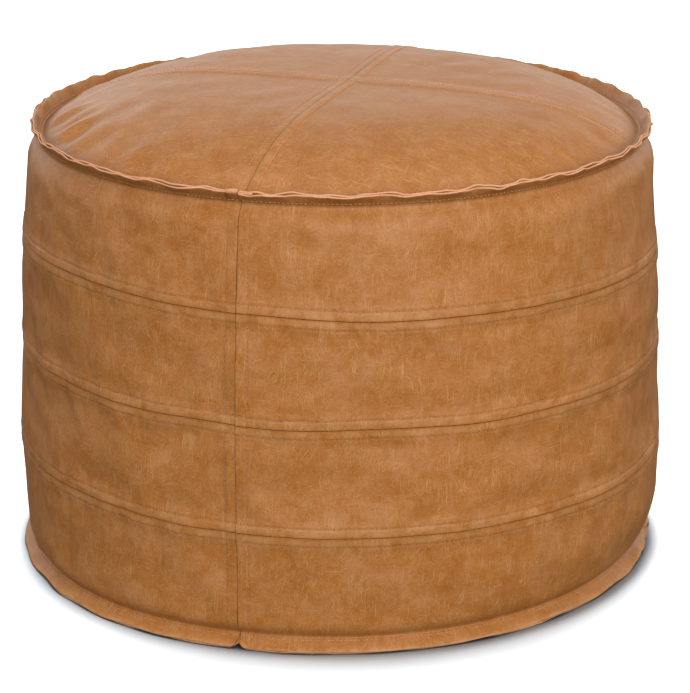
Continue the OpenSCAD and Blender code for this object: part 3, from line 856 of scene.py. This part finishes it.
def quarter(name, turn, seed):
    """A quarter of the top with its part of the raw edge; turn is where its first seam points."""
    reach = crown_root[0] - 1.5
    place, depth, inside = across_panel(0.0, reach, True, False, 3.2, PRESSED_W)
    rim_rows = reach - np.array([9.0, 6.0, 4.0, 2.5, 1.2, 0.0])
    keep = place < rim_rows[0] - 1.0
    place = np.concatenate([place[keep], rim_rows])
    depth = np.concatenate([depth[keep], np.zeros(6)])
    inside = np.concatenate([inside[keep], np.zeros(6, bool)])
    a, b = place[None, :], place[:, None]
    radius = np.maximum(a, b)
    share = np.minimum(a, b) / radius
    near = np.minimum(a, b) * (1 - 0.2929 * share**2)
    far = np.sqrt(radius**2 - near**2)
    x = np.where(a >= b, far, near)
    y = np.where(a >= b, near, far)
    deep = depth[None, :] + depth[:, None]
    c, s = round(math.cos(turn)), round(math.sin(turn))
    points = crown_point(c * x - s * y, s * x + c * y, deep)
    count = len(place)
    flat = points.reshape(-1, 3)

    # The raw edge carries on from the rim, all the way round from one seam to the other
    rim = [(count - 1) + i * count for i in range(count)]
    rim += [(count - 1) * count + i for i in range(count - 2, -1, -1)]
    rim = np.array(rim)
    angle = np.arctan2(flat[rim, 1], flat[rim, 0])
    rim_depth = np.concatenate([depth, depth[-2::-1]])
    s_rows = np.concatenate([[0.5, 2.0, 3.5], np.linspace(5, TOP_EDGE_W, 7)])
    edge = edge_point(angle[None, :], s_rows[:, None], TOP_ROOT, top_along, top_across, TOP_EDGE_W, 1, True,
                      rim_depth[None, :])
    columns = len(rim)
    base = len(flat)
    index = np.concatenate([rim[None, :], base + np.arange(len(s_rows) * columns).reshape(-1, columns)])
    quads = np.stack([index[:-1, :-1], index[:-1, 1:], index[1:, 1:], index[1:, :-1]], -1).reshape(-1, 4)
    corner = (inside[:-1, None] | inside[1:, None]) & (inside[None, :-1] | inside[None, 1:])
    sheet = grid_faces(count, count, keep=~corner)
    faces = np.concatenate([sheet, quads[:, ::-1]])
    everything = np.concatenate([flat, edge.reshape(-1, 3)])
    shift = panel_uv(seed)
    grown = everything[:, :2] * (1 + 0.0 * everything[:, 2:3])
    uv = grown + shift
    worn = np.zeros(len(everything))
    # Painted shade: darker in the seams' grooves, round the rim where the raw edge stands over it, and at the raw
    # edge's root
    painted_shade = np.zeros(len(everything))
    dx, dy = x.ravel(), y.ravel()
    for d in (dx, dy):
        worn[:base] += 0.45 * bell(d - 4, 2.5)
        painted_shade[:base] += 0.05 * bell(d, 0.9)
    painted_shade[:base] += 0.45 * bell(np.hypot(dx, dy) - reach, 5)
    worn[base:] = np.repeat(bell(s_rows - TOP_EDGE_W, 2.5), columns)
    painted_shade[base:] = np.repeat(0.34 * bell(s_rows, 6.0), columns)
    piece = new_piece(name, everything, faces, "cover", [name], "leather", [leather_top, leather_cut], uv)
    set_attribute(piece, "worn", np.clip(worn, 0, 1))
    set_attribute(piece, "painted_shade", np.clip(painted_shade, 0, 1))
    thicken(piece)
    return piece


quarter("top_panel_back_right", 0.0, 61)
quarter("top_panel_back_left", math.pi / 2, 62)
quarter("top_panel_front_left", math.pi, 63)
quarter("top_panel_front_right", -math.pi / 2, 64)

# --- stitches -------------------------------------------------------------------------------------------

STITCH_PITCH = 3.1
STITCH_L = 2.3
THREAD_R = 0.30


def stitch_shape():
    """One stitch along +X, arched over the leather, with its ends down in the needle holes."""
    rings = 5
    sides = 6
    points = []
    for i in range(rings):
        t = -1 + 2 * i / (rings - 1)
        taper = math.sqrt(max(1 - 0.55 * t**4, 0.1))
        lift = 0.30 * (1 - t**2) - 0.22 * t**6
        for k in range(sides):
            a = TAU * k / sides
            points.append((t * STITCH_L / 2, THREAD_R * 1.1 * taper * math.cos(a),
                           lift + THREAD_R * 0.85 * taper * math.sin(a)))
    faces = [tuple(int(v) for v in q) for q in grid_faces(rings, sides, closed=True)]
    faces.append(tuple(range(sides)))
    faces.append(tuple((rings - 1) * sides + k for k in range(sides - 1, -1, -1)))
    return np.array(points), faces


def stitches(name, rows, threads, slot_name, shades=None):
    """Separate stitches along rows of points; each row has points and normals, a stitch pitch apart.

    threads are the materials, and shades says which of them each row is sewn with."""
    shape, shape_faces = stitch_shape()
    points, faces, kinds = [], [], []
    r = np.random.default_rng(len(name))
    for row, (line, normals) in enumerate(rows):
        if len(line) < 2:
            continue
        middle = (line[1:] + line[:-1]) / 2
        way = line[1:] - line[:-1]
        way /= np.linalg.norm(way, axis=1, keepdims=True)
        up = (normals[1:] + normals[:-1]) / 2
        up -= (up * way).sum(1, keepdims=True) * way
        up /= np.linalg.norm(up, axis=1, keepdims=True)
        side = np.cross(up, way)
        tilt = r.normal(0, 0.05, (len(way), 1))
        way, side = way + tilt * side, side - tilt * way
        for m, w, s, u in zip(middle, way, side, up):
            start = len(points) * len(shape)
            points.append(m + shape[:, :1] * w + shape[:, 1:2] * s + shape[:, 2:] * u)
            faces += [tuple(start + i for i in f) for f in shape_faces]
            kinds += [shades[row] if shades else 0] * len(shape_faces)
    piece = new_piece(name, np.concatenate(points), faces, "cover", [name], slot_name, threads)
    piece.data.polygons.foreach_set("material_index", kinds)


def row_on(surface, count, start, end):
    """Stitch ends along a line of a surface: surface(t) gives points, start to end, with their normals."""
    t = np.linspace(start, end, count + 1)
    here = surface(t, 0.0)
    aside = surface(t, 0.4)
    ahead = surface(t + (end - start) * 1e-4, 0.0)
    normal = np.cross(ahead - here, aside - here)
    normal /= np.linalg.norm(normal, axis=1, keepdims=True)
    outward = here - np.array([0, 0, 150.0])
    normal *= np.sign((normal * outward).sum(1, keepdims=True))
    return here, normal


def seam_row(level):
    clear = 1.5 / BODY_R
    count = int((LENGTH - 3) / STITCH_PITCH)
    return row_on(lambda t, d: wall_point(t, level + d), count, CLOSING + clear, CLOSING + TAU - clear)


# The side seams are sewn with the darker copy of the thread: painted shade
for i, which in enumerate(("lower", "middle", "upper")):
    stitches("stitching_seam_" + which, [seam_row(SEAM_Z[i] + side * STITCH_OFFSET) for side in (-1, 1)],
             [thread_brown], "thread_brown")


def closing_rows():
    clear = STITCH_OFFSET + 1.5
    starts = [BASE_ROOT[1] + 6] + [z + clear for z in SEAM_Z]
    ends = [z - clear for z in SEAM_Z] + [TOP_ROOT[1] - 6]
    rows = []
    for low, high in zip(starts, ends):
        for side in (-1, 1):
            theta = CLOSING + side * CLOSING_OFFSET / BODY_R
            count = int((high - low) / STITCH_PITCH)
            rows.append(row_on(lambda t, d, th=theta: wall_point(th + d / BODY_R, t), count, low, high))
    return rows


# The closing seam has the darker copy of the thread: painted shade
stitches("stitching_closing_seam", closing_rows(), [thread_brown], "thread_brown")


def cross_rows():
    rows = []
    first, last = STITCH_OFFSET + 2, crown_root[0] - 8
    count = int((last - first) / STITCH_PITCH)
    for arm in range(4):
        c, s = round(math.cos(arm * math.pi / 2)), round(math.sin(arm * math.pi / 2))
        for side in (-1, 1):
            def line(t, d, c=c, s=s, side=side):
                w = np.full_like(t, side * STITCH_OFFSET + d)
                return crown_point(c * t - s * w, s * t + c * w)
            rows.append(row_on(line, count, first, last))
    return rows


stitches("stitching_top_cross", cross_rows(), [thread_tan], "thread_tan")


def edge_rows(root, along, across, width, top):
    count = int(TAU * root[0] / STITCH_PITCH)
    rows = []
    for sign in (1, -1):
        def line(t, d, sign=sign):
            return edge_point(t, EDGE_STITCH + d, root, along, across, width, sign, top)
        t = np.linspace(CLOSING + 0.004, CLOSING + TAU - 0.004, count + 1)
        here = line(t, 0.0)
        normal = np.stack([sign * across[0] * np.cos(t), sign * across[0] * np.sin(t),
                           np.full_like(t, sign * across[1])], 1)
        rows.append((here, normal))
    return rows


# The row on the top ply is tan; the row under the edge has the dimmer copy of the thread: painted shade
stitches("stitching_top_edge", edge_rows(TOP_ROOT, top_along, top_across, TOP_EDGE_W, True),
         [thread_tan, thread_shaded_tan], "thread_tan", shades=[0, 1])
# The base edge's rows have the dimmer copy of the thread: painted shade
stitches("stitching_base_edge", edge_rows(BASE_ROOT, base_along, base_across, BASE_EDGE_W, False),
         [thread_shaded_tan], "thread_tan")

# --- the base --------------------------------------------------------------------------------------------

RECESS_TOP = np.array([198.0, 14.0])
RECESS_FOOT = np.array([212.0, 30.0])
RECESS_H = box_mm("zip_teeth_front")[0][2] - GAP
LIP_Y = 8.0
ZIP_HALF_L = box_mm("zip_tape_front")[1][0] + 2
base_creases = Lumps(70, 60)


def recess_lift(x, y, grow=0.0):
    """From 0 outside the zip's recess to 1 under its roof."""
    across = (RECESS_FOOT[1] + grow - np.abs(y)) / (RECESS_FOOT[1] - RECESS_TOP[1])
    along = (RECESS_FOOT[0] + grow - np.abs(x)) / (RECESS_FOOT[0] - RECESS_TOP[0])
    return smooth(np.minimum(across, along))


def base_z(x, y):
    """The underside of the base."""
    r = np.hypot(x, y)
    flat = BASE_ROOT[0] - 17
    rise = base_root[1] * (np.maximum(r - flat, 0) / (base_root[0] - flat)) ** 2
    crease = 0.25 * np.maximum(base_creases(x, y), 0) * smooth((flat - r) / 30)
    lift = RECESS_H * recess_lift(x, y)
    return np.maximum(rise, lift) + crease * (1 - recess_lift(x, y, 6.0))


HEM = [(14.0, FOLD_T), (11.0, FOLD_T), (8.8, FOLD_T), (8.1, 2.1), (7.95, 1.25), (8.1, 0.45), (8.8, 0.0)]
ACROSS_RECESS = [9.6, 10.4, 11.0, 11.6, 12.6, 14, 16, 18, 20.5, 23, 26, 29, 32, 36]


def base_panel(name, side, seed):
    """Half of the base, with its hem along the zip and its ply of the raw edge. side is -1 in front."""
    ends = 0.0006
    phi = np.linspace(ends, math.pi - ends, 301)
    reach = base_root[0] - 0.5
    x = reach * np.cos(phi)
    rim = reach * np.sin(phi)
    squeeze = np.minimum(rim / 80, 1)
    open_here = np.abs(x) < ZIP_HALF_L
    rows_y, rows_z = [], []
    for k, (hem_y, hem_z) in enumerate(HEM):
        closed_y = (GAP / 2 + k * 1.36) * squeeze
        rows_y.append(np.where(open_here, hem_y, closed_y))
        rows_z.append(np.where(open_here, RECESS_H + hem_z, base_z(x, closed_y)))
    near = [d * squeeze for d in ACROSS_RECESS]
    far = [near[-1] + (rim - near[-1]) * k / 62 for k in range(1, 63)]
    for y in near + far:
        rows_y.append(y)
        rows_z.append(base_z(x, y))
    y, z = side * np.array(rows_y), np.array(rows_z)
    panel = np.stack([np.broadcast_to(x, y.shape), y, z], -1)
    s = np.concatenate([[0.6, 2.0, 3.5], np.linspace(5, BASE_EDGE_W, 7)])
    edge = edge_point(side * phi[None, :], s[:, None], BASE_ROOT, base_along, base_across, BASE_EDGE_W, -1, False)
    points = np.concatenate([panel, edge])
    rows, columns = points.shape[:2]
    keep = np.ones((rows - 1, columns - 1), bool)
    keep[: len(HEM) - 1, :] = open_here[None, :-1] == open_here[None, 1:]
    faces = grid_faces(rows, columns, keep=keep)
    faces = faces if side > 0 else faces[:, ::-1]
    uv = points[..., :2].reshape(-1, 2) + panel_uv(seed)
    worn = np.zeros((rows, columns))
    worn[-len(s):] = bell(s - BASE_EDGE_W, 2.5)[:, None]
    worn += 0.4 * bell(np.hypot(points[..., 0], points[..., 1]) - 222, 8) * (points[..., 2] < 3)
    piece = new_piece(name, points.reshape(-1, 3), faces, "cover", [name], "leather", [leather_top, leather_cut], uv)
    set_attribute(piece, "worn", np.clip(worn, 0, 1))
    # Painted shade: darker in the zip's recess
    set_attribute(piece, "painted_shade", 0.5 * recess_lift(points[..., 0], points[..., 1]))
    thicken(piece)


base_panel("base_panel_front", -1, 71)
base_panel("base_panel_back", 1, 72)

# --- the inner bag and its filling ----------------------------------------------------------------------

BAG_LOW, BAG_HIGH = [box_mm("liner_wall")[k][2] for k in (0, 1)]
BAG_DEPTH = 4.6
BAG_CROWN_DEPTH = 4.4
BAG_FLOOR_Z = 2.9
BAG_ROOF_Z = 12.4
bag_creases = [Lumps(80, 34), Lumps(81, 34), Lumps(82, 34)]
AROUND = np.linspace(0, TAU, 241)[:-1]


def ring_mesh(name, points, slot_name, material, thickness, flip=False):
    """A surface closed round the drum, from rows of points."""
    rows, columns = points.shape[:2]
    faces = grid_faces(rows, columns, closed=True)
    faces = faces[:, ::-1] if flip else faces
    piece = new_piece(name, points.reshape(-1, 3), faces, "cover", [name], slot_name, [material])
    if thickness:
        thicken(piece, thickness, rim=False)
    return piece


def from_path(path, creases, amount):
    """Rows of points from (radius, height) pairs, creased by noise across the surface."""
    path = np.array(path)
    r, z = path[:, :1], path[:, 1:]
    x, y = r * np.cos(AROUND), r * np.sin(AROUND)
    crease = amount * np.abs(creases(x + z, y - z)) * smooth(r / 20)
    return np.stack([x, y, np.broadcast_to(z, x.shape) - crease], -1)


def bag_top_path(depth):
    crown = [(r, float(crown_z(r)) - depth) for r in np.linspace(0.5, 214, 36)]
    return crown + [(222, float(crown_z(222)) - depth - 0.6), (229, float(crown_z(222)) - depth - 9)]


def bag_floor(depth, creases):
    """The bag's bottom, lifted over the zip."""
    flat = BASE_ROOT[0] - 19
    path = [(r, BAG_FLOOR_Z + depth) for r in np.linspace(0.5, flat, 40)]
    path += [(flat + 8, BAG_FLOOR_Z + depth + 4.6), (float(wall_r(BAG_LOW)) - 9 - depth, 16.0)]
    points = from_path(path, creases, 0.0)
    lift = recess_lift(points[..., 0], points[..., 1], 3.0 + depth)
    points[..., 2] += (BAG_ROOF_Z - BAG_FLOOR_Z) * lift
    points[..., 2] += 0.5 * np.abs(creases(points[..., 0], points[..., 1])) * smooth(points[..., 0] ** 2 / 400)
    return points


def inner_bag():
    end_r = float(wall_r(BAG_HIGH)) - BAG_DEPTH
    top = from_path(bag_top_path(BAG_CROWN_DEPTH) + [(end_r, BAG_HIGH + 1.2)], bag_creases[0], 0.6)
    ring_mesh("liner_top", top, "liner_cloth", liner_cloth, 0.6, flip=True)
    z = np.linspace(BAG_LOW, BAG_HIGH, 70)[:, None]
    around = np.broadcast_to(AROUND, (len(z), len(AROUND)))
    creased = BAG_DEPTH + 0.7 * np.abs(bag_creases[1](around * BODY_R, z))
    ring_mesh("liner_wall", wall_point(around, z, creased), "liner_cloth", liner_cloth, 0.6)
    floor = bag_floor(0.0, bag_creases[2])
    end = np.stack([(float(wall_r(BAG_LOW)) - BAG_DEPTH) * np.cos(AROUND),
                    (float(wall_r(BAG_LOW)) - BAG_DEPTH) * np.sin(AROUND), np.full(AROUND.shape, BAG_LOW - 1.2)], -1)
    ring_mesh("liner_base", np.concatenate([floor, end[None]]), "liner_cloth", liner_cloth, 0.6)


def filling():
    """The beads, as one lumpy body just inside the bag."""
    skin = 1.6
    top = from_path([(r, z) for r, z in bag_top_path(BAG_CROWN_DEPTH + skin + 0.4)], bag_creases[0], 0.9)
    z = np.linspace(BAG_HIGH - 2, BAG_LOW + 2, 60)[:, None]
    around = np.broadcast_to(AROUND, (len(z), len(AROUND)))
    pressed = BAG_DEPTH + skin + 1.3 + 0.8 * np.abs(bag_creases[1](around * BODY_R, z))
    floor = bag_floor(skin, bag_creases[2])[::-1]
    points = np.concatenate([top, wall_point(around, z, pressed), floor])
    rows, columns = points.shape[:2]
    faces = [tuple(map(int, f)) for f in grid_faces(rows, columns, closed=True)[:, ::-1]]
    faces.append(tuple(range(columns - 1, -1, -1))[::-1])
    faces.append(tuple(range((rows - 1) * columns + columns - 1, (rows - 1) * columns - 1, -1)))
    piece = new_piece("bead_fill", points.reshape(-1, 3), faces, "cover", ["bead_fill"], "beads", [beads])


def bag_stitches():
    rows = []
    for z in (BAG_LOW + 4, BAG_HIGH - 4):
        t = np.linspace(0, TAU, int(LENGTH / 5))
        here = wall_point(t, z, BAG_DEPTH + 1.6)
        rows.append((here, np.stack([-np.cos(t), -np.sin(t), 0 * t], 1)))
    stitches("stitching_liner", rows, [liner_cloth], "liner_cloth")


inner_bag()
filling()
bag_stitches()

# --- the zip ---------------------------------------------------------------------------------------------

TAPE_Z = box_mm("zip_tape_front")[0][2]
TEETH_Z = box_mm("zip_teeth_front")[0][2]
TOOTH_PITCH = 4.0
TOOTH_OUTLINE = [
    (-1.0, -3.9), (1.0, -3.9), (1.05, -2.9), (0.62, -1.9), (0.6, -1.1), (0.85, -0.4), (0.8, 0.3), (0.4, 0.7),
    (-0.4, 0.7), (-0.8, 0.3), (-0.85, -0.4), (-0.6, -1.1), (-0.62, -1.9), (-1.05, -2.9),
]


def slab(outline, low, high, bevel):
    """A bevelled slab: the outline runs anticlockwise, and its rim is rounded by bevel."""
    flat = np.array(outline, float)
    after, before = np.roll(flat, -1, 0), np.roll(flat, 1, 0)
    way = after - before
    out = np.stack([way[:, 1], -way[:, 0]], 1) / np.linalg.norm(way, axis=1, keepdims=True)
    rings = [(flat - bevel * out, low), (flat - 0.3 * bevel * out, low + 0.3 * bevel), (flat, low + bevel),
             (flat, high - bevel), (flat - 0.3 * bevel * out, high - 0.3 * bevel), (flat - bevel * out, high)]
    points = np.concatenate([np.column_stack([ring, np.full(len(flat), z)]) for ring, z in rings])
    n = len(flat)
    faces = [tuple(map(int, f)) for f in grid_faces(len(rings), n, closed=True)]
    faces.append(tuple(range(n - 1, -1, -1)))
    faces.append(tuple((len(rings) - 1) * n + k for k in range(n)))
    return points, faces


def joined(parts):
    points, faces, start = [], [], 0
    for part_points, part_faces in parts:
        points.append(part_points)
        faces += [tuple(start + k for k in f) for f in part_faces]
        start += len(part_points)
    return np.concatenate(points), faces


def zip_teeth(name, side):
    """One row of teeth, clamped on the edge of its tape. side is -1 for the front tape."""
    low, high = box_mm(name)
    first = -ZIP_HALF_L + 8.8 + (0 if side < 0 else TOOTH_PITCH / 2)
    count = int((high[0] - first - 1) / TOOTH_PITCH) + 1
    shape, shape_faces = slab(TOOTH_OUTLINE, TEETH_Z + 0.05, TAPE_Z - 0.05, 0.22)
    if side > 0:
        shape = shape * [1, -1, 1]
        shape_faces = [f[::-1] for f in shape_faces]
    parts = [(shape + [first + k * TOOTH_PITCH, 0, 0], shape_faces) for k in range(count)]
    new_piece(name, *joined(parts), "cover", [name], "zip_metal", [zip_metal], smooth_shade=False)


def zip_tape(name, side):
    """A woven tape with a cord along its inner edge."""
    x = np.linspace(-ZIP_HALF_L + 2, ZIP_HALF_L - 2, 260)
    y = np.array([2.0, 2.1, 2.6, 3.1, 3.6, 5, 7, 9, 11, 13, 15, 16.6, 17.0])
    ripple = Ripple(90 + side, 4, 20)(x / ZIP_HALF_L * 2)
    z = TAPE_Z + 0.25 + 0.12 * ripple[None, :] * bell(y[:, None] - 9, 5) - 0.15 * bell(y[:, None] - 2.6, 0.6)
    points = np.stack([np.broadcast_to(x, z.shape), np.broadcast_to(side * y[:, None], z.shape), z], -1)
    faces = grid_faces(len(y), len(x))
    faces = faces[:, ::-1] if side > 0 else faces
    piece = new_piece(name, points.reshape(-1, 3), faces, "cover", [name], "zip_tape", [tape_cloth])
    thicken(piece, 0.5, rim=False)


def rounded_box(low, high, radius, bevel):
    """A slab over a box, with round corners in plan."""
    corners = [(high[0], high[1], 0), (low[0], high[1], 90), (low[0], low[1], 180), (high[0], low[1], 270)]
    outline = []
    for x, y, start in corners:
        cx = x - radius if start in (0, 270) else x + radius
        cy = y - radius if start in (0, 90) else y + radius
        for a in np.radians(np.linspace(start, start + 90, 5)):
            outline.append((cx + radius * math.cos(a), cy + radius * math.sin(a)))
    return slab(outline, low[2], high[2], bevel)


def zip_stops():
    low, high = box_mm("zip_top_stops")
    parts = []
    for side in (-1, 1):
        inner, outer = sorted([side * 2.1, side * 3.9])
        parts.append(rounded_box((low[0], inner, low[2]), (high[0], outer, high[2]), 0.5, 0.3))
    new_piece("zip_top_stops", *joined(parts), "cover", ["zip_top_stops"], "zip_metal", [zip_metal])
    stop = rounded_box(*box_mm("zip_bottom_stop"), 0.9, 0.35)
    new_piece("zip_bottom_stop", *stop, "cover", ["zip_bottom_stop"], "zip_metal", [zip_metal])


def end_tab(name, seed):
    low, high = box_mm(name)
    points, faces = rounded_box(low, high, 2.0, 0.3)
    piece = new_piece(name, points, faces, "cover", [name], "leather", [leather_top], points[:, :2] + panel_uv(seed))
    set_attribute(piece, "worn", np.ones(len(points)))


def bevelled_copy(node, body, width):
    """The CAD node's own shape with its sharp edges softened."""
    source = frame["nodes"][node].data
    points = [tuple(v.co / MM) for v in source.vertices]
    faces = [tuple(p.vertices) for p in source.polygons]
    piece = new_piece(node + "_bevelled", points, faces, body, [node], "zip_metal", [zip_metal], smooth_shade=False)
    weld = piece.modifiers.new("weld", "WELD")
    weld.merge_threshold = 0.01 * MM
    flat = piece.modifiers.new("flat", "DECIMATE")
    flat.decimate_type = "DISSOLVE"
    flat.angle_limit = math.radians(2)
    bevel = piece.modifiers.new("bevel", "BEVEL")
    bevel.width = width * MM
    bevel.segments = 3
    bevel.limit_method = "ANGLE"
    bevel.angle_limit = math.radians(40)


def zip_stitches():
    """The rows that hold the tapes, and a bar across each end patch."""
    rows = []
    down = np.array([0, 0, -1.0])
    half_l = ZIP_HALF_L - 12
    for side in (-1, 1):
        x = np.linspace(-half_l, half_l, int(2 * half_l / STITCH_PITCH))
        line = np.stack([x, np.full(len(x), side * 11.0), np.full(len(x), RECESS_H - 0.1)], 1)
        rows.append((line, np.broadcast_to(down, line.shape)))
    for tab in ("zip_end_tab_left", "zip_end_tab_right"):
        low, high = box_mm(tab)
        for x in (low[0] + 2, high[0] - 2):
            y = np.linspace(low[1] + 2, high[1] - 2, 8)
            line = np.stack([np.full(len(y), x), y, np.full(len(y), low[2] - 0.1)], 1)
            rows.append((line, np.broadcast_to(down, line.shape)))
    stitches("stitching_zip", rows, [thread_brown], "thread_brown")


zip_tape("zip_tape_front", -1)
zip_tape("zip_tape_back", 1)
zip_teeth("zip_teeth_front", -1)
zip_teeth("zip_teeth_back", 1)
zip_stops()
end_tab("zip_end_tab_left", 73)
end_tab("zip_end_tab_right", 74)
bevelled_copy("zip_slider", "slider", 0.25)
bevelled_copy("zip_pull_tab", "pull_tab", 0.25)
zip_stitches()

# --- the room ---------------------------------------------------------------------------------------------


def floor_material():
    """Pale, with a painted contact shadow: its colour darkens by ambient occlusion just where the pouf closes off the
    light.
    """
    n = Nodes("floor")
    near = n.add("AmbientOcclusion", {"Distance": 0.026})
    near.samples = 12
    clear = n.ramp(near.outputs["AO"], 0.30, 0.95)
    # Painted contact shadow: dark blue-grey where occluded, pale in the open
    return n.shade(base_color=n.mix(clear, rgb(0.085, 0.100, 0.115), rgb(0.600, 0.640, 0.680)), roughness=0.9)


def add_floor():
    size = 12.0
    mesh = bpy.data.meshes.new("floor")
    mesh.from_pydata([(-size, -size, 0), (size, -size, 0), (size, size, 0), (-size, size, 0)], [], [(0, 1, 2, 3)])
    mesh.materials.append(floor_material())
    floor = bpy.data.objects.new("floor", mesh)
    floor.visible_diffuse = False
    floor.visible_glossy = False
    floor.visible_shadow = False
    bpy.context.scene.collection.objects.link(floor)
    return floor


def area_light(name, place, target, size, power, colour=(1, 1, 1)):
    data = bpy.data.lights.new(name, "AREA")
    data.shape = "RECTANGLE"
    data.size, data.size_y = size
    data.energy = power
    data.color = colour
    light = bpy.data.objects.new(name, data)
    light.location = place
    aim = (np.array(target) - np.array(place))
    light.rotation_euler = Vector(aim).to_track_quat("-Z", "Y").to_euler()
    bpy.context.scene.collection.objects.link(light)
    return light


def sun_light(name, lean, angle, energy):
    """Light from high up, lean degrees behind the pouf."""
    data = bpy.data.lights.new(name, "SUN")
    data.energy = energy
    data.angle = math.radians(angle)
    light = bpy.data.objects.new(name, data)
    light.rotation_euler = (math.radians(-lean), 0.0, VIEW_AZIMUTH)
    bpy.context.scene.collection.objects.link(light)
    return light


def choose_lit(light, member, state):
    """Keeps a light to one object (INCLUDE) or off it (EXCLUDE)."""
    lit = bpy.data.collections.new(light.name + "_lights")
    lit.objects.link(member)
    lit.collection_objects[0].light_linking.link_state = state
    light.light_linking.receiver_collection = lit


def in_view(right, back, up):
    """A place given from the camera's side: right, away from the camera, and up, in metres."""
    c, s = math.cos(VIEW_AZIMUTH), math.sin(VIEW_AZIMUTH)
    return (right * c - back * s, right * s + back * c, up)


def add_world():
    """A studio that is dark at the horizon, light overhead, and pale below, where the floor would be."""
    world = bpy.data.worlds.new("studio")
    world.use_nodes = True
    tree = world.node_tree
    background = tree.nodes["Background"]
    background.inputs["Color"].default_value = (1.0, 0.975, 0.93, 1.0)
    way = tree.nodes.new("ShaderNodeTexCoord")
    split = tree.nodes.new("ShaderNodeSeparateXYZ")
    levels = tree.nodes.new("ShaderNodeFloatCurve")
    curve = levels.mapping.curves[0]
    curve.points[0].location = (0.0, 0.19)
    curve.points[1].location = (1.0, 0.75)
    for height, strength in ((0.49, 0.19), (0.51, 2.05), (0.65, 2.05), (0.70, 0.75)):
        curve.points.new(height, strength)
    levels.mapping.update()
    half = tree.nodes.new("ShaderNodeMapRange")
    half.inputs["From Min"].default_value = -1.0
    tree.links.new(way.outputs["Generated"], split.inputs[0])
    tree.links.new(split.outputs["Z"], half.inputs["Value"])
    tree.links.new(half.outputs["Result"], levels.inputs["Value"])
    tree.links.new(levels.outputs["Value"], background.inputs["Strength"])
    bpy.context.scene.world = world


def add_lights(floor):
    middle = (0, 0, 0.2)
    key = area_light("key", in_view(0.55, -2.4, 1.35), middle, (2.0, 1.5), 73)
    choose_lit(key, floor, "EXCLUDE")
    sheen = area_light("sheen", in_view(-1.1, 2.2, 1.15), middle, (1.1, 0.5), 4.0, (0.86, 0.95, 1.0))
    choose_lit(sheen, floor, "EXCLUDE")
    overhead = sun_light("overhead", 6, 32, 0.75)
    choose_lit(overhead, floor, "EXCLUDE")
    over_floor = sun_light("over_floor", 8, 15, 7.0)
    choose_lit(over_floor, floor, "INCLUDE")


def add_camera():
    data = bpy.data.cameras.new("camera")
    data.sensor_width = 36.0
    data.lens = 142.8
    camera = bpy.data.objects.new("camera", data)
    camera.location = in_view(0.0036, -2.073, 0.837)
    camera.rotation_euler = (math.radians(90 - 18.29), 0.0, VIEW_AZIMUTH)
    bpy.context.scene.collection.objects.link(camera)
    bpy.context.scene.camera = camera


floor = add_floor()
add_world()
add_lights(floor)
add_camera()
bpy.context.scene.view_settings.view_transform = "Standard"
bpy.context.scene.view_settings.look = "None"
